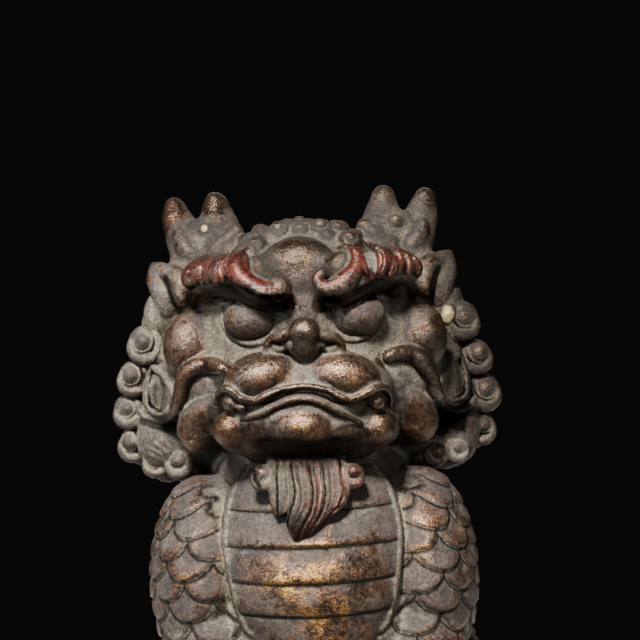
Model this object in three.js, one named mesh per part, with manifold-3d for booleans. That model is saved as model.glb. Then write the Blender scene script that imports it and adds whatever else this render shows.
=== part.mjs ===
// A seated qilin, cast in one piece with its low base.
// Millimetres, +Z up. The origin is the centre of the base's underside and the face looks along -Y.
import * as THREE from "three";
import { mergeVertices } from "three/addons/utils/BufferGeometryUtils.js";
import Module from "manifold-3d";

// Driving dimensions.
const FIGURE_HEIGHT = 185; // from the base's top to the tips of the antlers
const BASE_THICKNESS = 6;
const BASE_MARGIN = 3; // how much base shows around the figure's footprint
const BASE_CORNER = 26; // radius of the base's corners
const BASE_DRAFT = 1.5; // how far the base's sides lean in from its underside to its top
const SEAT_SINK = 1.5; // how deep the feet and the body run into the base that they are cast with

// The carving is drawn on a grid with this many units from the base's top to the antler tips.
const GRID_HEIGHT = 185;
const UNIT = FIGURE_HEIGHT / GRID_HEIGHT;
const SUNK = -SEAT_SINK / UNIT; // the grid height at which the body and the feet end in the base

const BRONZE = { color: 0x4a3a2c, roughness: 0.45, metalness: 0.75 };

const wasm = await Module();
wasm.setup();

const vec = (p) => new THREE.Vector3(p[0], p[1], p[2]);
const lerp = (a, b, t) => a + (b - a) * t;
const radians = THREE.MathUtils.degToRad;

// The value at a place in a table of [place, value] pairs, straight between two of them.
function along(table, at) {
  if (at <= table[0][0]) return table[0][1];
  for (let i = 1; i < table.length; i++) {
    const [a, va] = table[i - 1];
    const [b, vb] = table[i];
    if (at <= b) return lerp(va, vb, (at - a) / (b - a));
  }
  return table[table.length - 1][1];
}

// A closed three.js geometry as a solid for joining.
function solid(geometry) {
  const bare = geometry.clone();
  bare.deleteAttribute("normal");
  bare.deleteAttribute("uv");
  const merged = mergeVertices(bare, 1e-4);
  return new wasm.Manifold(
    new wasm.Mesh({
      numProp: 3,
      vertProperties: new Float32Array(merged.attributes.position.array),
      triVerts: new Uint32Array(merged.index.array),
    }),
  );
}

// The square of a plane as the ten numbers of a quadric, and a quadric's value at a point: the sum
// of the squared distances to its planes.
function planeSquared(n, d) {
  const { x, y, z } = n;
  return [x * x, x * y, x * z, x * d, y * y, y * z, y * d, z * z, z * d, d * d];
}
function valueAt(q, { x, y, z }) {
  const crossTerms = q[1] * x * y + q[2] * x * z + q[5] * y * z + q[3] * x + q[6] * y + q[8] * z;
  return q[0] * x * x + q[4] * y * y + q[7] * z * z + 2 * crossTerms + q[9];
}

// A solid's geometry with few facets: a point is drawn onto a neighbour wherever that neighbour is
// within the tolerance of all the planes that met at the point, and no facet turns too far.
const FACET_TOLERANCE = 0.38;
const FACET_TURN = 0.5; // the least cosine between a facet's old and new direction
const FACET_PASSES = 14;

function toGeometry(manifold) {
  const { vertProperties, triVerts } = manifold.getMesh();
  const threes = (list) => {
    const starts = Array.from({ length: list.length / 3 }, (_, i) => 3 * i);
    return starts.map((start) => [...list.slice(start, start + 3)]);
  };
  const points = threes(vertProperties).map(vec);
  const facets = threes(triVerts);
  const around = points.map(() => new Set());
  facets.forEach((facet, i) => facet.forEach((v) => around[v].add(i)));
  const across = ([a, b, c]) => new THREE.Vector3()
    .subVectors(points[b], points[a])
    .cross(new THREE.Vector3().subVectors(points[c], points[a]));
  const quadrics = points.map(() => new Array(10).fill(0));
  for (const facet of facets) {
    const n = across(facet).normalize();
    const q = planeSquared(n, -n.dot(points[facet[0]]));
    for (const v of facet) q.forEach((value, k) => (quadrics[v][k] += value));
  }
  const neighbours = (v) => {
    const near = new Set([...around[v]].flatMap((i) => facets[i]));
    near.delete(v);
    return near;
  };
  const merged = (v, u) => quadrics[v].map((value, k) => value + quadrics[u][k]);

  // Whether drawing v onto u keeps the surface closed and leaves its facets facing their way.
  const allowed = (v, u) => {
    const near = neighbours(u);
    if ([...neighbours(v)].filter((other) => near.has(other)).length !== 2) return false;
    return [...around[v]].every((i) => {
      if (facets[i].includes(u)) return true;
      const before = across(facets[i]);
      const after = across(facets[i].map((other) => (other === v ? u : other)));
      return after.length() > 1e-3 && after.dot(before) > FACET_TURN * after.length() * before.length();
    });
  };

  for (let pass = 0; pass < FACET_PASSES; pass++) {
    const moves = [];
    for (let v = 0; v < points.length; v++) {
      for (const u of neighbours(v)) {
        const cost = valueAt(merged(v, u), points[u]);
        if (cost < FACET_TOLERANCE ** 2) moves.push([cost, v, u]);
      }
    }
    moves.sort((a, b) => a[0] - b[0]);
    const touched = new Set();
    for (const [, v, u] of moves) {
      if (touched.has(v) || touched.has(u) || !allowed(v, u)) continue;
      for (const other of [v, ...neighbours(v)]) touched.add(other);
      quadrics[u] = merged(v, u);
      for (const i of [...around[v]]) {
        if (facets[i].includes(u)) {
          facets[i].forEach((other) => around[other].delete(i));
          facets[i] = [];
        } else {
          facets[i] = facets[i].map((other) => (other === v ? u : other));
          around[u].add(i);
          around[v].delete(i);
        }
      }
    }
  }
  const corners = facets.flat().flatMap((v) => points[v].toArray());
  const geometry = new THREE.BufferGeometry();
  geometry.setAttribute("position", new THREE.Float32BufferAttribute(corners, 3));
  return mergeVertices(geometry, 1e-5);
}

// Rings of points, each with as many columns, closed by the two end points that follow them.
function tubeOf(positions, columns, rings) {
  const faces = [];
  for (let i = 0; i < rings - 1; i++) {
    for (let j = 0; j < columns; j++) {
      const [here, next] = [i * columns + j, i * columns + ((j + 1) % columns)];
      faces.push(here, next, next + columns, here, next + columns, here + columns);
    }
  }
  const foot = rings * columns;
  for (let j = 0; j < columns; j++) {
    const k = (j + 1) % columns;
    faces.push(foot, k, j, foot + 1, foot - columns + j, foot - columns + k);
  }
  const geometry = new THREE.BufferGeometry();
  geometry.setAttribute("position", new THREE.Float32BufferAttribute(positions, 3));
  geometry.setIndex(faces);
  return geometry;
}

// An egg: a sphere stretched to three radii, then turned by degrees about X, Y and Z.
function egg(centre, radii, across = 10, down = 7, turn = [0, 0, 0]) {
  const geometry = new THREE.SphereGeometry(1, across, down);
  geometry.rotateX(Math.PI / 2);
  geometry.scale(radii[0], radii[1], radii[2]);
  const turned = new THREE.Euler(radians(turn[0]), radians(turn[1]), radians(turn[2]));
  geometry.applyMatrix4(new THREE.Matrix4().makeRotationFromEuler(turned));
  geometry.translate(centre[0], centre[1], centre[2]);
  return solid(geometry);
}

function ball(centre, radius, detail = 1) {
  const geometry = new THREE.OctahedronGeometry(radius, detail);
  geometry.translate(centre[0], centre[1], centre[2]);
  return solid(geometry);
}

// A lock: a section carried along a smooth curve, with radii spaced evenly along its length.
// A lock with ribs has every other corner of its section drawn in by that share, and is flat:
// its thickness is a share of its width, which then lies along X.
function lock(points, radii, sides = 6, steps = 8, ribs = 0, flat = 1) {
  const curve = new THREE.CatmullRomCurve3(points.map(vec), false, "centripetal");
  const frames = curve.computeFrenetFrames(steps, false);
  const widths = radii.map((r, i) => [i / (radii.length - 1), r]);
  const positions = [];
  for (let i = 0; i <= steps; i++) {
    const centre = curve.getPointAt(i / steps);
    const r = along(widths, i / steps);
    const across = flat === 1 ? frames.normals[i] : new THREE.Vector3(1, 0, 0);
    const through = new THREE.Vector3().crossVectors(frames.tangents[i], across).normalize();
    for (let j = 0; j < sides; j++) {
      const a = (2 * Math.PI * j) / sides;
      const reach = r * (1 - ribs * (j % 2));
      const spoke = centre.clone().addScaledVector(across, Math.cos(a) * reach);
      spoke.addScaledVector(through, Math.sin(a) * reach * flat);
      positions.push(...spoke.toArray());
    }
  }
  for (const end of [0, 1]) {
    const r = along(widths, end) * 0.6;
    const tip = curve.getPointAt(end).addScaledVector(frames.tangents[end * steps], end ? r : -r);
    positions.push(...tip.toArray());
  }
  return solid(tubeOf(positions, sides, steps + 1));
}

// A snail curl: a round ridge about a boss, facing a direction. The ridge is widest and highest at
// turn, in degrees, and the boss stands a little away from there.
const SNAIL_RINGS = [[1, -0.3], [0.86, 0.42], [0.58, 0], [0.44, 0.46]]; // reach, lift
const SNAIL_BOSS = 0.74; // the lift of the boss's top
const SNAIL_SHIFT = 0.16; // how far the boss stands off the middle
const SNAIL_FALL = 0.4; // how much lower and narrower the ridge is opposite its highest place
function snail(centre, size, facing, turn, columns = 7) {
  const out = vec(facing).normalize();
  const side = new THREE.Vector3().crossVectors(new THREE.Vector3(0, 0, 1), out).normalize();
  const rise = new THREE.Vector3().crossVectors(out, side);
  const high = radians(turn);
  const boss = [-SNAIL_SHIFT * Math.cos(high), -SNAIL_SHIFT * Math.sin(high)];
  const place = (x, y, lift) => {
    const p = vec(centre).addScaledVector(side, x * size).addScaledVector(rise, y * size);
    return p.addScaledVector(out, lift * size).toArray();
  };
  const positions = [];
  SNAIL_RINGS.forEach(([reach, lift], ring) => {
    const [dx, dy] = ring > 1 ? boss : [0, 0];
    for (let j = 0; j < columns; j++) {
      const a = high + (2 * Math.PI * j) / columns;
      const fall = ring < 2 ? (SNAIL_FALL * (1 - Math.cos(a - high))) / 2 : 0;
      const r = reach * (1 - fall / 2);
      positions.push(...place(dx + r * Math.cos(a), dy + r * Math.sin(a), lift - (lift > 0 ? fall : 0)));
    }
  });
  positions.push(...place(0, 0, -0.8), ...place(...boss, SNAIL_BOSS));
  return solid(tubeOf(positions, columns, SNAIL_RINGS.length));
}

// What is made once for each side: at() puts a point on that side, and side is 1 or -1.
const bothSides = (make) => [1, -1].flatMap((side) => make(([x, y, z]) => [side * x, y, z], side));

// How far a body made of eggs, each a centre and three radii, stands out from an upright axis on the
// centre plane, in the direction of an angle at a height. It is never nearer than the least reach.
const LEAST_REACH = 5;
function skinRadius(eggs, axisY, angle, z) {
  const [dx, dy] = [Math.cos(angle), Math.sin(angle)];
  let far = LEAST_REACH;
  for (const [centre, radii] of eggs) {
    const level = 1 - ((z - centre[2]) / radii[2]) ** 2;
    const [ox, oy] = [-centre[0], axisY - centre[1]];
    const a = (dx / radii[0]) ** 2 + (dy / radii[1]) ** 2;
    const b = (ox * dx) / radii[0] ** 2 + (oy * dy) / radii[1] ** 2;
    const c = (ox / radii[0]) ** 2 + (oy / radii[1]) ** 2 - level;
    const root = b * b - a * c;
    if (root > 0) far = Math.max(far, (Math.sqrt(root) - b) / a);
  }
  return far;
}

// The trunk: a core, two shoulders, two haunches, two upper forelegs and the back.
const TRUNK = [
  [[0, -3, 52], [43, 40, 50]],
  [[33.5, -13, 63], [17, 25, 33]],
  [[-33.5, -13, 63], [17, 25, 33]],
  [[35, 19, 25], [18, 27, 27]],
  [[-35, 19, 25], [18, 27, 27]],
  [[31.5, -24, 32], [14, 14, 40]],
  [[-31.5, -24, 32], [14, 14, 40]],
  [[0, 12, 45], [36, 34, 52]],
];
const TRUNK_AXIS = -2;

// The scaled trunk: rings of points in pairs, one tucked in and one on the lip of a row of scales
// just above it. Along a ring the lip dips at each scale's tip and rises between two scales.
const SCALE_ROWS = 14;
const SCALES_ROUND = 22;
const STEPS_PER_SCALE = 2;
const SCALE_LIP = 1.4;
const SCALE_DIP = 4.6;
const TRUNK_TOP = 98;

function scaledTrunk() {
  const columns = SCALES_ROUND * STEPS_PER_SCALE;
  const positions = [];
  const ring = (level, half, lip) => {
    for (let j = 0; j < columns; j++) {
      const angle = (2 * Math.PI * j) / columns;
      const phase = j / STEPS_PER_SCALE + half;
      const tip = Math.cos(Math.PI * (phase - Math.round(phase))) ** 2;
      const z = Math.max(level - SCALE_DIP * tip, SUNK);
      const r = skinRadius(TRUNK, TRUNK_AXIS, angle, z) + lip * (0.4 + 0.6 * tip);
      positions.push(r * Math.cos(angle), TRUNK_AXIS + r * Math.sin(angle), z);
    }
  };
  ring(SUNK, 0, 0);
  for (let row = 2; row <= SCALE_ROWS; row++) {
    const level = (row * TRUNK_TOP) / SCALE_ROWS;
    ring(level - 0.7, (row % 2) / 2, 0);
    ring(level, (row % 2) / 2, SCALE_LIP);
  }
  const rings = positions.length / 3 / columns;
  positions.push(0, TRUNK_AXIS, SUNK, 0, TRUNK_AXIS, TRUNK_TOP + SCALE_LIP);
  return solid(tubeOf(positions, columns, rings));
}

// The belly by height: its front line and its half width. Its plates end at the plate lines.
const BELLY_FRONT = [[0, -38], [12, -39.5], [26, -42.5], [40, -46], [52, -48.8], [62, -50],
  [74, -48.6], [84, -45.5], [94, -40], [101, -34]];
const BELLY_HALF = [[0, 15], [20, 16.5], [34, 18.5], [47.5, 22.2], [57, 25.7], [65, 27], [74, 28.4],
  [83, 28], [91, 25.5], [101, 19]];
const PLATE_LINES = [7, 18, 29, 40, 51, 62, 73, 84.3, 95];
const PLATE_GROOVE = 1.6;
const PLATE_SAG = 1.6; // how far a plate's middle hangs below its ends
const BELLY_DEPTH = 16;
const bellyAxis = (z) => along(BELLY_FRONT, z) + BELLY_DEPTH;

// The plated belly: half-round sections stacked up, each plate overhanging the groove below it.
function platedBelly() {
  const across = 10;
  const levels = [[SUNK, 0]];
  for (const line of PLATE_LINES) levels.push([line - 0.4, -PLATE_GROOVE], [line + 0.6, 0.6]);
  const positions = [];
  for (const [z, swell] of levels) {
    const half = along(BELLY_HALF, z);
    const axis = bellyAxis(z);
    for (let j = 0; j < across; j++) {
      const a = Math.PI * (j / (across - 1)) - Math.PI;
      const sag = z > 0 ? PLATE_SAG * (1 - Math.abs(Math.sin(a))) : 0;
      positions.push((half + swell / 2) * Math.cos(a), axis + (BELLY_DEPTH + swell) * Math.sin(a), z + sag);
    }
    positions.push(half * 0.7, 4, z, -half * 0.7, 4, z);
  }
  const top = levels[levels.length - 1][0];
  positions.push(0, bellyAxis(SUNK), SUNK, 0, bellyAxis(top), top);
  return solid(tubeOf(positions, across + 2, levels.length));
}

// The head's plain masses, each an egg: centre and radii.
const CHEEKS = [[0, -12, 125], [44.5, 26.5, 27]];
const MUZZLE = [[0, -33, 121], [27, 20, 15]];
const JAW = [[0, -31, 108.5], [28.5, 21, 10]];
const HEAD = [
  CHEEKS, MUZZLE, JAW,
  [[0, -6, 134], [38, 36, 38]], // the core
  [[0, 6, 124], [53, 30, 36]], // the mass under the mane
  [[0, -21, 155], [34, 17, 12]], // the ridge under the brows
  [[0, -12, 160], [24, 16, 13]], // the crown
  [[0, -36, 161], [11, 7.5, 7.5]], // the boss of the forehead
  [[44, 1, 107], [11, 12, 13]], // the mass under the lower side curls
  [[-44, 1, 107], [11, 12, 13]],
  [[0, -3, 95], [31, 31, 16]], // the neck
];
const HEAD_AXIS = -8;
const HEAD_LEVELS = [82, 90, 97, 101, 105, 109, 113, 117, 122, 127, 132, 138, 144, 150, 155, 160, 165,
  169, 172];
const FACE_COLUMNS = 15; // over the front third of the head
const NAPE_COLUMNS = 11; // over the rest

// The head's skin: rings of points at the levels, closer together over the face.
function head() {
  const [faceStep, napeStep] = [120 / (FACE_COLUMNS - 1), 240 / (NAPE_COLUMNS + 1)];
  const face = Array.from({ length: FACE_COLUMNS }, (_, i) => radians(210 + faceStep * i));
  const nape = Array.from({ length: NAPE_COLUMNS }, (_, i) => radians(330 + napeStep * (i + 1)));
  const angles = [...face, ...nape];
  const positions = [];
  for (const z of HEAD_LEVELS) {
    for (const angle of angles) {
      const r = skinRadius(HEAD, HEAD_AXIS, angle, z);
      positions.push(r * Math.cos(angle), HEAD_AXIS + r * Math.sin(angle), z);
    }
  }
  const [low, high] = [HEAD_LEVELS[0], HEAD_LEVELS[HEAD_LEVELS.length - 1]];
  positions.push(0, HEAD_AXIS, low, 0, HEAD_AXIS, high + 1);
  return solid(tubeOf(positions, angles.length, HEAD_LEVELS.length));
}

// The place on the front of a mass at x and z, lifted off it.
function front([centre, radii], x, z, lift) {
  const level = 1 - ((x - centre[0]) / radii[0]) ** 2 - ((z - centre[2]) / radii[2]) ** 2;
  return [x, centre[1] - radii[1] * Math.sqrt(Math.max(level, 0)) - lift, z];
}

// The lips' lines from the middle to a corner: x and z.
const UPPER_LIP = [[0, 123.6], [5, 123], [9.5, 120.8], [13.9, 119.6], [19, 120.6], [23.4, 122.4],
  [26, 120.4]];
const LOWER_LIP = [[0, 118], [9, 116.4], [16.5, 113.6], [22, 112]];
const UPPER_LIP_RADII = [1.2, 1.8, 1.8, 1.8, 1.2];
const LOWER_LIP_RADII = [1.6, 2, 2, 2, 1.6];
const LOWER_LIP_RISE = 4; // how far above the place on the jaw that it follows the lower lip stands
const NOSE_WING = [[3, -51, 138.6], [6.7, -49.5, 138], [10.4, -47, 135.4], [9.4, -46.8, 132.4],
  [7.4, -47.4, 133.2]];
const bothWays = (line) => [...line.slice(1).reverse().map(([x, y, z]) => [-x, y, z]), ...line];

function muzzle() {
  const upper = UPPER_LIP.map(([x, z]) => front(MUZZLE, x, z, 0.8));
  const lower = LOWER_LIP.map(([x, z]) => {
    const [, y] = front(JAW, x, z - LOWER_LIP_RISE, -0.5);
    return [x, y, z];
  });
  return [
    egg([0, -38, 148], [7, 8, 12], 6, 5), // the bridge of the nose
    egg([0, -47, 110.5], [11, 8.5, 6.3], 8, 6), // the chin
    ball([0, -52, 139.6], 4.9), // the nose
    egg([0, -50.5, 134.5], [4.2, 4.6, 5.6], 6, 5),
    lock(bothWays(upper), UPPER_LIP_RADII, 4, 14),
    lock(bothWays(lower), LOWER_LIP_RADII, 4, 8),
    ...bothSides((at, side) => [
      egg(at([13.2, -44, 128]), [11.6, 9.5, 6.6], 9, 6, [0, 12 * side, 0]), // the pad of the lip
      ball(at([23.3, -41.5, 109.9]), 4.8), // the corner of the jaw
      ball(at([22.2, -43.6, 117.6]), 2.2), // the tooth
      lock(NOSE_WING.map(at), [2.2, 1.8, 1.5, 1], 4, 6),
    ]),
  ];
}

// The whisker's line over the cheek, from the muzzle to its curled tip: x and z.
const WHISKER = [[27, 130.2], [31.9, 131], [35.6, 128.7], [38.5, 123.1], [40, 118.7]];
const WHISKER_TIP = [[42.9, -15.4, 115.3], [47.5, -11, 113.6], [51.8, -7.5, 115.4], [53.5, -6.5, 118]];
const WHISKER_RADII = [2.2, 2.4, 2.3, 2.1, 1.8, 1];

function eyesAndCheeks() {
  const whisker = [...WHISKER.map(([x, z]) => front(CHEEKS, x, z, 1.2)), ...WHISKER_TIP];
  return bothSides((at) => [
    egg(at([17.6, -31.5, 144.5]), [9.6, 9, 8.2], 10, 7), // the eye
    egg(at([36, -15, 137]), [9.3, 11, 10.8], 9, 6), // the upper cheek
    egg(at([33.5, -17, 110.5]), [7, 10, 10.5], 7, 5), // the lower cheek
    egg(at([45.6, -9, 121.5]), [5, 6, 8.5], 6, 4), // the leaf behind the whisker
    lock(whisker.map(at), WHISKER_RADII, 5, 10),
  ]);
}

// A brow: a thick roll combed into locks that tapers inwards and ends in a curl.
const BROW = [[6.4, -44.6, 153], [9, -45.2, 151.8], [14, -43.5, 154], [20, -39, 158.8], [26, -34, 160],
  [32, -27.5, 159.5], [36.5, -22, 158.6]];
const BROW_RADII = [3.2, 4.4, 5.8, 7.4, 7.2, 5.8, 3.2];
const BROW_LOCKS = 6; // combed locks along the outer part
const BROW_SMOOTH = 0.3; // the share of the roll, from the curl, that isn't combed
const BROW_COMB = 0.28; // how deep the partings between the locks are, as a share of the radius

function brows() {
  const steps = 18;
  const widths = BROW_RADII.map((r, i) => [i / (BROW_RADII.length - 1), r]);
  const radii = Array.from({ length: steps + 1 }, (_, i) => {
    const t = i / steps;
    const lockAt = ((t - BROW_SMOOTH) / (1 - BROW_SMOOTH)) * BROW_LOCKS;
    const parting = t > BROW_SMOOTH ? 0.5 + 0.5 * Math.cos(2 * Math.PI * lockAt) : 0;
    return along(widths, t) * (1 - BROW_COMB * parting);
  });
  return bothSides((at) => [lock(BROW.map(at), radii, 7, steps), ball(at([7, -46.6, 154.2]), 3.6)]);
}

// Each antler is two blunt prongs on one root, and each ear two drooping petals on a root.
const INNER_PRONG = [[21.5, -2, 156], [25, 3, 168], [27, 7, 177.5], [27, 8, 183.3]];
const INNER_PRONG_RADII = [10, 9.4, 8, 5.8, 2.8];
const OUTER_PRONG = [[30, 0, 156], [35.4, 6, 167.5], [38.9, 10, 176.5], [40.4, 12, 181.8]];
const OUTER_PRONG_RADII = [9, 7.8, 6.6, 5.4, 2.7];
const OUTER_PETAL = [[47, 1, 163.6], [46.6, -1, 158], [44, -3, 151.4], [42, -3.6, 146]];
const OUTER_PETAL_RADII = [1, 3.6, 3.6, 1.4];
const INNER_PETAL = [[46.6, 0, 163.4], [41.6, -4, 161.5], [37.8, -7, 156], [37.2, -9, 149.5]];
const INNER_PETAL_RADII = [1.2, 3.8, 4, 1.6];

function antlersAndEars() {
  return bothSides((at) => [
    lock(INNER_PRONG.map(at), INNER_PRONG_RADII, 7, 4),
    lock(OUTER_PRONG.map(at), OUTER_PRONG_RADII, 7, 4),
    ball(at([30.5, -1.6, 173.4]), 2.8), // the knob in the fork
    lock(OUTER_PETAL.map(at), OUTER_PETAL_RADII, 5, 4),
    lock(INNER_PETAL.map(at), INNER_PETAL_RADII, 5, 4),
    egg(at([38, 1, 155]), [8, 7, 9], 7, 5), // the ear's root
  ]);
}

// The mane. Side curls run down beside the face and crown curls over the head: x, y, z, size.
const SIDE_CURLS = [[46, -1, 149, 5.8], [50, -2, 139.4, 7.6], [53.6, 0, 128.8, 7.4], [55.2, 2, 117.8, 7],
  [53.6, 1.5, 106.8, 7], [46.6, -3, 100.6, 6.6], [40, -8, 100.2, 6]];
const SIDE_CURL_OUT = [0.45, -1, 0.05];
const CROWN_CURLS = [[14.4, -23, 168.6, 3.8], [8, -22.6, 171, 3.8], [13, -6, 170, 6.5], [10, 10, 166.5, 8]];
const CROWN_MIDDLE = [0, -6, 134]; // the crown curls face away from it
// Rows of curls behind: height, how many, and how far round from the middle of the back, in degrees.
const BACK_ROWS = [[155, 3, 44], [139, 4, 60], [123, 5, 68], [106, 4, 56]];
const BACK_CURL = 11;
const BACK_MIDDLE = [0, 6, 124];
const BACK_REACH = [54, 32, 36]; // how far from that middle the curls behind stand
const CURL_TURN = 270; // the ridge of a curl is highest below

function mane() {
  const parts = bothSides((at) => [
    ...SIDE_CURLS.map(([x, y, z, size]) => snail(at([x, y, z]), size, at(SIDE_CURL_OUT), CURL_TURN)),
    ...CROWN_CURLS.map(([x, y, z, size]) => {
      const out = vec(at([x, y, z])).sub(vec(CROWN_MIDDLE)).toArray();
      return snail(at([x, y, z]), size, out, CURL_TURN, 6);
    }),
  ]);
  const [, middleY, middleZ] = BACK_MIDDLE;
  for (const [z, count, spread] of BACK_ROWS) {
    const rise = (z - middleZ) / BACK_REACH[2];
    const level = Math.sqrt(1 - rise ** 2);
    for (let i = 0; i < count; i++) {
      const angle = radians(90 + lerp(-spread, spread, i / (count - 1)));
      const [x, y] = [Math.cos(angle), Math.sin(angle)];
      const centre = [BACK_REACH[0] * level * x, middleY + BACK_REACH[1] * level * y, z];
      parts.push(snail(centre, BACK_CURL, [x, y, 0.7 * rise], CURL_TURN));
    }
  }
  return parts;
}

// The beard: three ribbed locks that each run to a point, with a curl on either side.
const BEARD_MIDDLE = [[-1, -43, 104], [-0.5, -49.6, 95], [0.8, -51.6, 87], [-1.5, -52.4, 81],
  [-5.4, -51.8, 76]];
const BEARD_LEFT = [[-8, -43, 104], [-8.5, -48.6, 96], [-9, -50, 89], [-10.4, -49.6, 83.6]];
const BEARD_RIGHT = [[7.5, -43, 104], [8.4, -48.6, 96], [8, -50, 90], [3.8, -49.8, 83.4]];
const BEARD_SIDE_RADII = [4, 4.2, 3.2, 0.7];
const BEARD_MIDDLE_RADII = [5, 5.2, 4.8, 3.2, 0.7];
const BEARD_RIBS = 0.22;
const BEARD_FLATNESS = 0.68;

function beard() {
  return [
    lock(BEARD_LEFT, BEARD_SIDE_RADII, 8, 4, BEARD_RIBS, BEARD_FLATNESS),
    lock(BEARD_MIDDLE, BEARD_MIDDLE_RADII, 8, 6, BEARD_RIBS, BEARD_FLATNESS),
    lock(BEARD_RIGHT, BEARD_SIDE_RADII, 8, 4, BEARD_RIBS, BEARD_FLATNESS),
    ...bothSides((at) => snail(at([13.2, -46.5, 96.4]), 4.4, at([0.3, -1, 0.1]), CURL_TURN)),
    egg([0, -40, 92], [14, 8, 12], 7, 5),
  ];
}

function limbs() {
  return bothSides((at) => [
    lock([[31.5, -26, 34], [31.5, -31, 20], [31, -34, 6]].map(at), [12, 10.5, 9], 8, 3),
    egg(at([31, -37.5, 3.5]), [8.8, 10, 7.5], 8, 5), // the fore hoof
    lock([[40, -6, 8], [41, -18, 7], [41.5, -25, 5]].map(at), [9, 7.5, 6.5], 6, 2),
    egg(at([41.5, -26, 3]), [7.6, 8.6, 6.5], 7, 5), // the hind hoof
  ]);
}

// The tail rises against the back as a mound with flaming locks: x at the root, spread, and height
// of the tip.
const TAIL_MOUND = [[0, 38, 24], [15, 11, 26]];
const TAIL_LOCKS = [[0, 0, 74], [7, 7, 60], [-7, -7, 60]];
const TAIL_RADII = [6, 6.5, 6, 4.5, 1];

function tail() {
  const locks = TAIL_LOCKS.map(([x, spread, tip]) => {
    const line = [[x * 0.3, 40, 3], [x, 45, 20], [x + spread * 0.5, 45.2, 38], [x + spread, 42, tip - 6],
      [x + spread * 1.4, 43.5, tip]];
    return lock(line, TAIL_RADII, 5, 6);
  });
  return [egg(...TAIL_MOUND, 8, 6), ...locks];
}

// The base reaches past the figure's footprint by its margin, and its sides lean in to the top.
const FOOTPRINT = [53, 52]; // half the figure's footprint along X and Y, on the grid
function base() {
  const [x, y] = FOOTPRINT.map((half) => half * UNIT + BASE_MARGIN);
  const r = Math.min(BASE_CORNER, x, y);
  const outline = new THREE.Shape();
  outline.absarc(x - r, -y + r, r, -Math.PI / 2, 0);
  outline.absarc(x - r, y - r, r, 0, Math.PI / 2);
  outline.absarc(-x + r, y - r, r, Math.PI / 2, Math.PI);
  outline.absarc(-x + r, -y + r, r, Math.PI, 1.5 * Math.PI);
  const settings = { depth: BASE_THICKNESS, bevelEnabled: false, curveSegments: 7 };
  const slab = new THREE.ExtrudeGeometry(outline, settings);
  const at = slab.getAttribute("position");
  for (let i = 0; i < at.count; i++) {
    if (at.getZ(i) < BASE_THICKNESS / 2) continue;
    at.setX(i, at.getX(i) * (1 - BASE_DRAFT / x));
    at.setY(i, at.getY(i) * (1 - BASE_DRAFT / y));
  }
  return solid(slab);
}

const figure = wasm.Manifold.union([scaledTrunk(), platedBelly(), head(), ...muzzle(), ...eyesAndCheeks(),
  ...brows(), ...antlersAndEars(), ...mane(), ...beard(), ...limbs(), ...tail()]);
const casting = figure.scale([UNIT, UNIT, UNIT]).translate([0, 0, BASE_THICKNESS]).add(base());

const geometry = toGeometry(casting);
geometry.computeVertexNormals();
const mesh = new THREE.Mesh(geometry, new THREE.MeshStandardMaterial(BRONZE));
mesh.name = "qilin_figure";
const qilin = new THREE.Group();
qilin.add(mesh);

export default qilin;
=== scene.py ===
import bpy
import numpy as np
from mathutils import Euler, Matrix, Vector


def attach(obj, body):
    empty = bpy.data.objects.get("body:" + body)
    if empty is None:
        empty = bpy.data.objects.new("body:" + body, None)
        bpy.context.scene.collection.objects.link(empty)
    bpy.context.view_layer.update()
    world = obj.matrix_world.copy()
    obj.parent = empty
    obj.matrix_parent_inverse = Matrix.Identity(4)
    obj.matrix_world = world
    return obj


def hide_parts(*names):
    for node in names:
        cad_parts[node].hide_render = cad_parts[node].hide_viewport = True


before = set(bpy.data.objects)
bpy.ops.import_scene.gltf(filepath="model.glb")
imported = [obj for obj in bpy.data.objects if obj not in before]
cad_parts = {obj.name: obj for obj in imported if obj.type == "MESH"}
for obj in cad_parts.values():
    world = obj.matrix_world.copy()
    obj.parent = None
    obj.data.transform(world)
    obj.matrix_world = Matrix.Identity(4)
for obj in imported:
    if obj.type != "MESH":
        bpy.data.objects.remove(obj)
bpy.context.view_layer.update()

# Lengths are millimetres. The carving's heights are counted from the base's top.
MM = 0.001
BASE_TOP = 6.0
SUNK = -1.5  # where the masses end, inside the base
MASS_GRAIN = 0.8  # edge of the cells that the head's masses are drawn in
GRAIN = 0.42  # the same for the whole skin
PIECE_TRIANGLES = 196_000
# Softening in millimetres: of the head's masses, and of a piece before and after it is chased
MASS_SOFT, SOFT_BEFORE, SOFT_AFTER = 1.5, 0.4, 0.3
FLAT_SOLE = 0.3  # the base is levelled to its underside up to here
# The passes that find narrow and wide hollows, and the depths that the finish counts as full
FINE_PASSES, WIDE_PASSES = 6, 70
FINE_DEPTH, WIDE_DEPTH = 0.5, 3.0
FRONT = (0, -1, 0)


# Surfaces


def closed(rows):
    """A closed surface from rows of points that go round it: each end is drawn together at the
    middle of its row. Rows is rows x columns x 3."""
    first, last = (np.broadcast_to(rows[i].mean(0), rows[i].shape) for i in (0, -1))
    grid = np.concatenate([first[None], rows, last[None]])
    here = np.arange(grid.shape[0] * grid.shape[1]).reshape(grid.shape[:2])
    beside = np.roll(here, -1, axis=1)
    quads = np.stack([here[:-1], beside[:-1], beside[1:], here[1:]], axis=-1)
    return grid.reshape(-1, 3), quads.reshape(-1, 4)


def egg(centre, radii, turn=(0, 0, 0), across=60, down=40):
    """A sphere of two angles a and b, (cos a cos b, sin a cos b, sin b), stretched to three radii,
    turned by degrees about X, Y and Z and moved to its centre."""
    a = np.linspace(0, 2 * np.pi, across, endpoint=False)[None]
    b = np.linspace(-np.pi / 2, np.pi / 2, down)[1:-1, None]
    sphere = np.stack([np.cos(a) * np.cos(b), np.sin(a) * np.cos(b), np.sin(b) + 0 * a], axis=-1)
    return closed((sphere * radii) @ np.array(Euler(np.radians(turn)).to_matrix()).T + centre)


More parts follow.
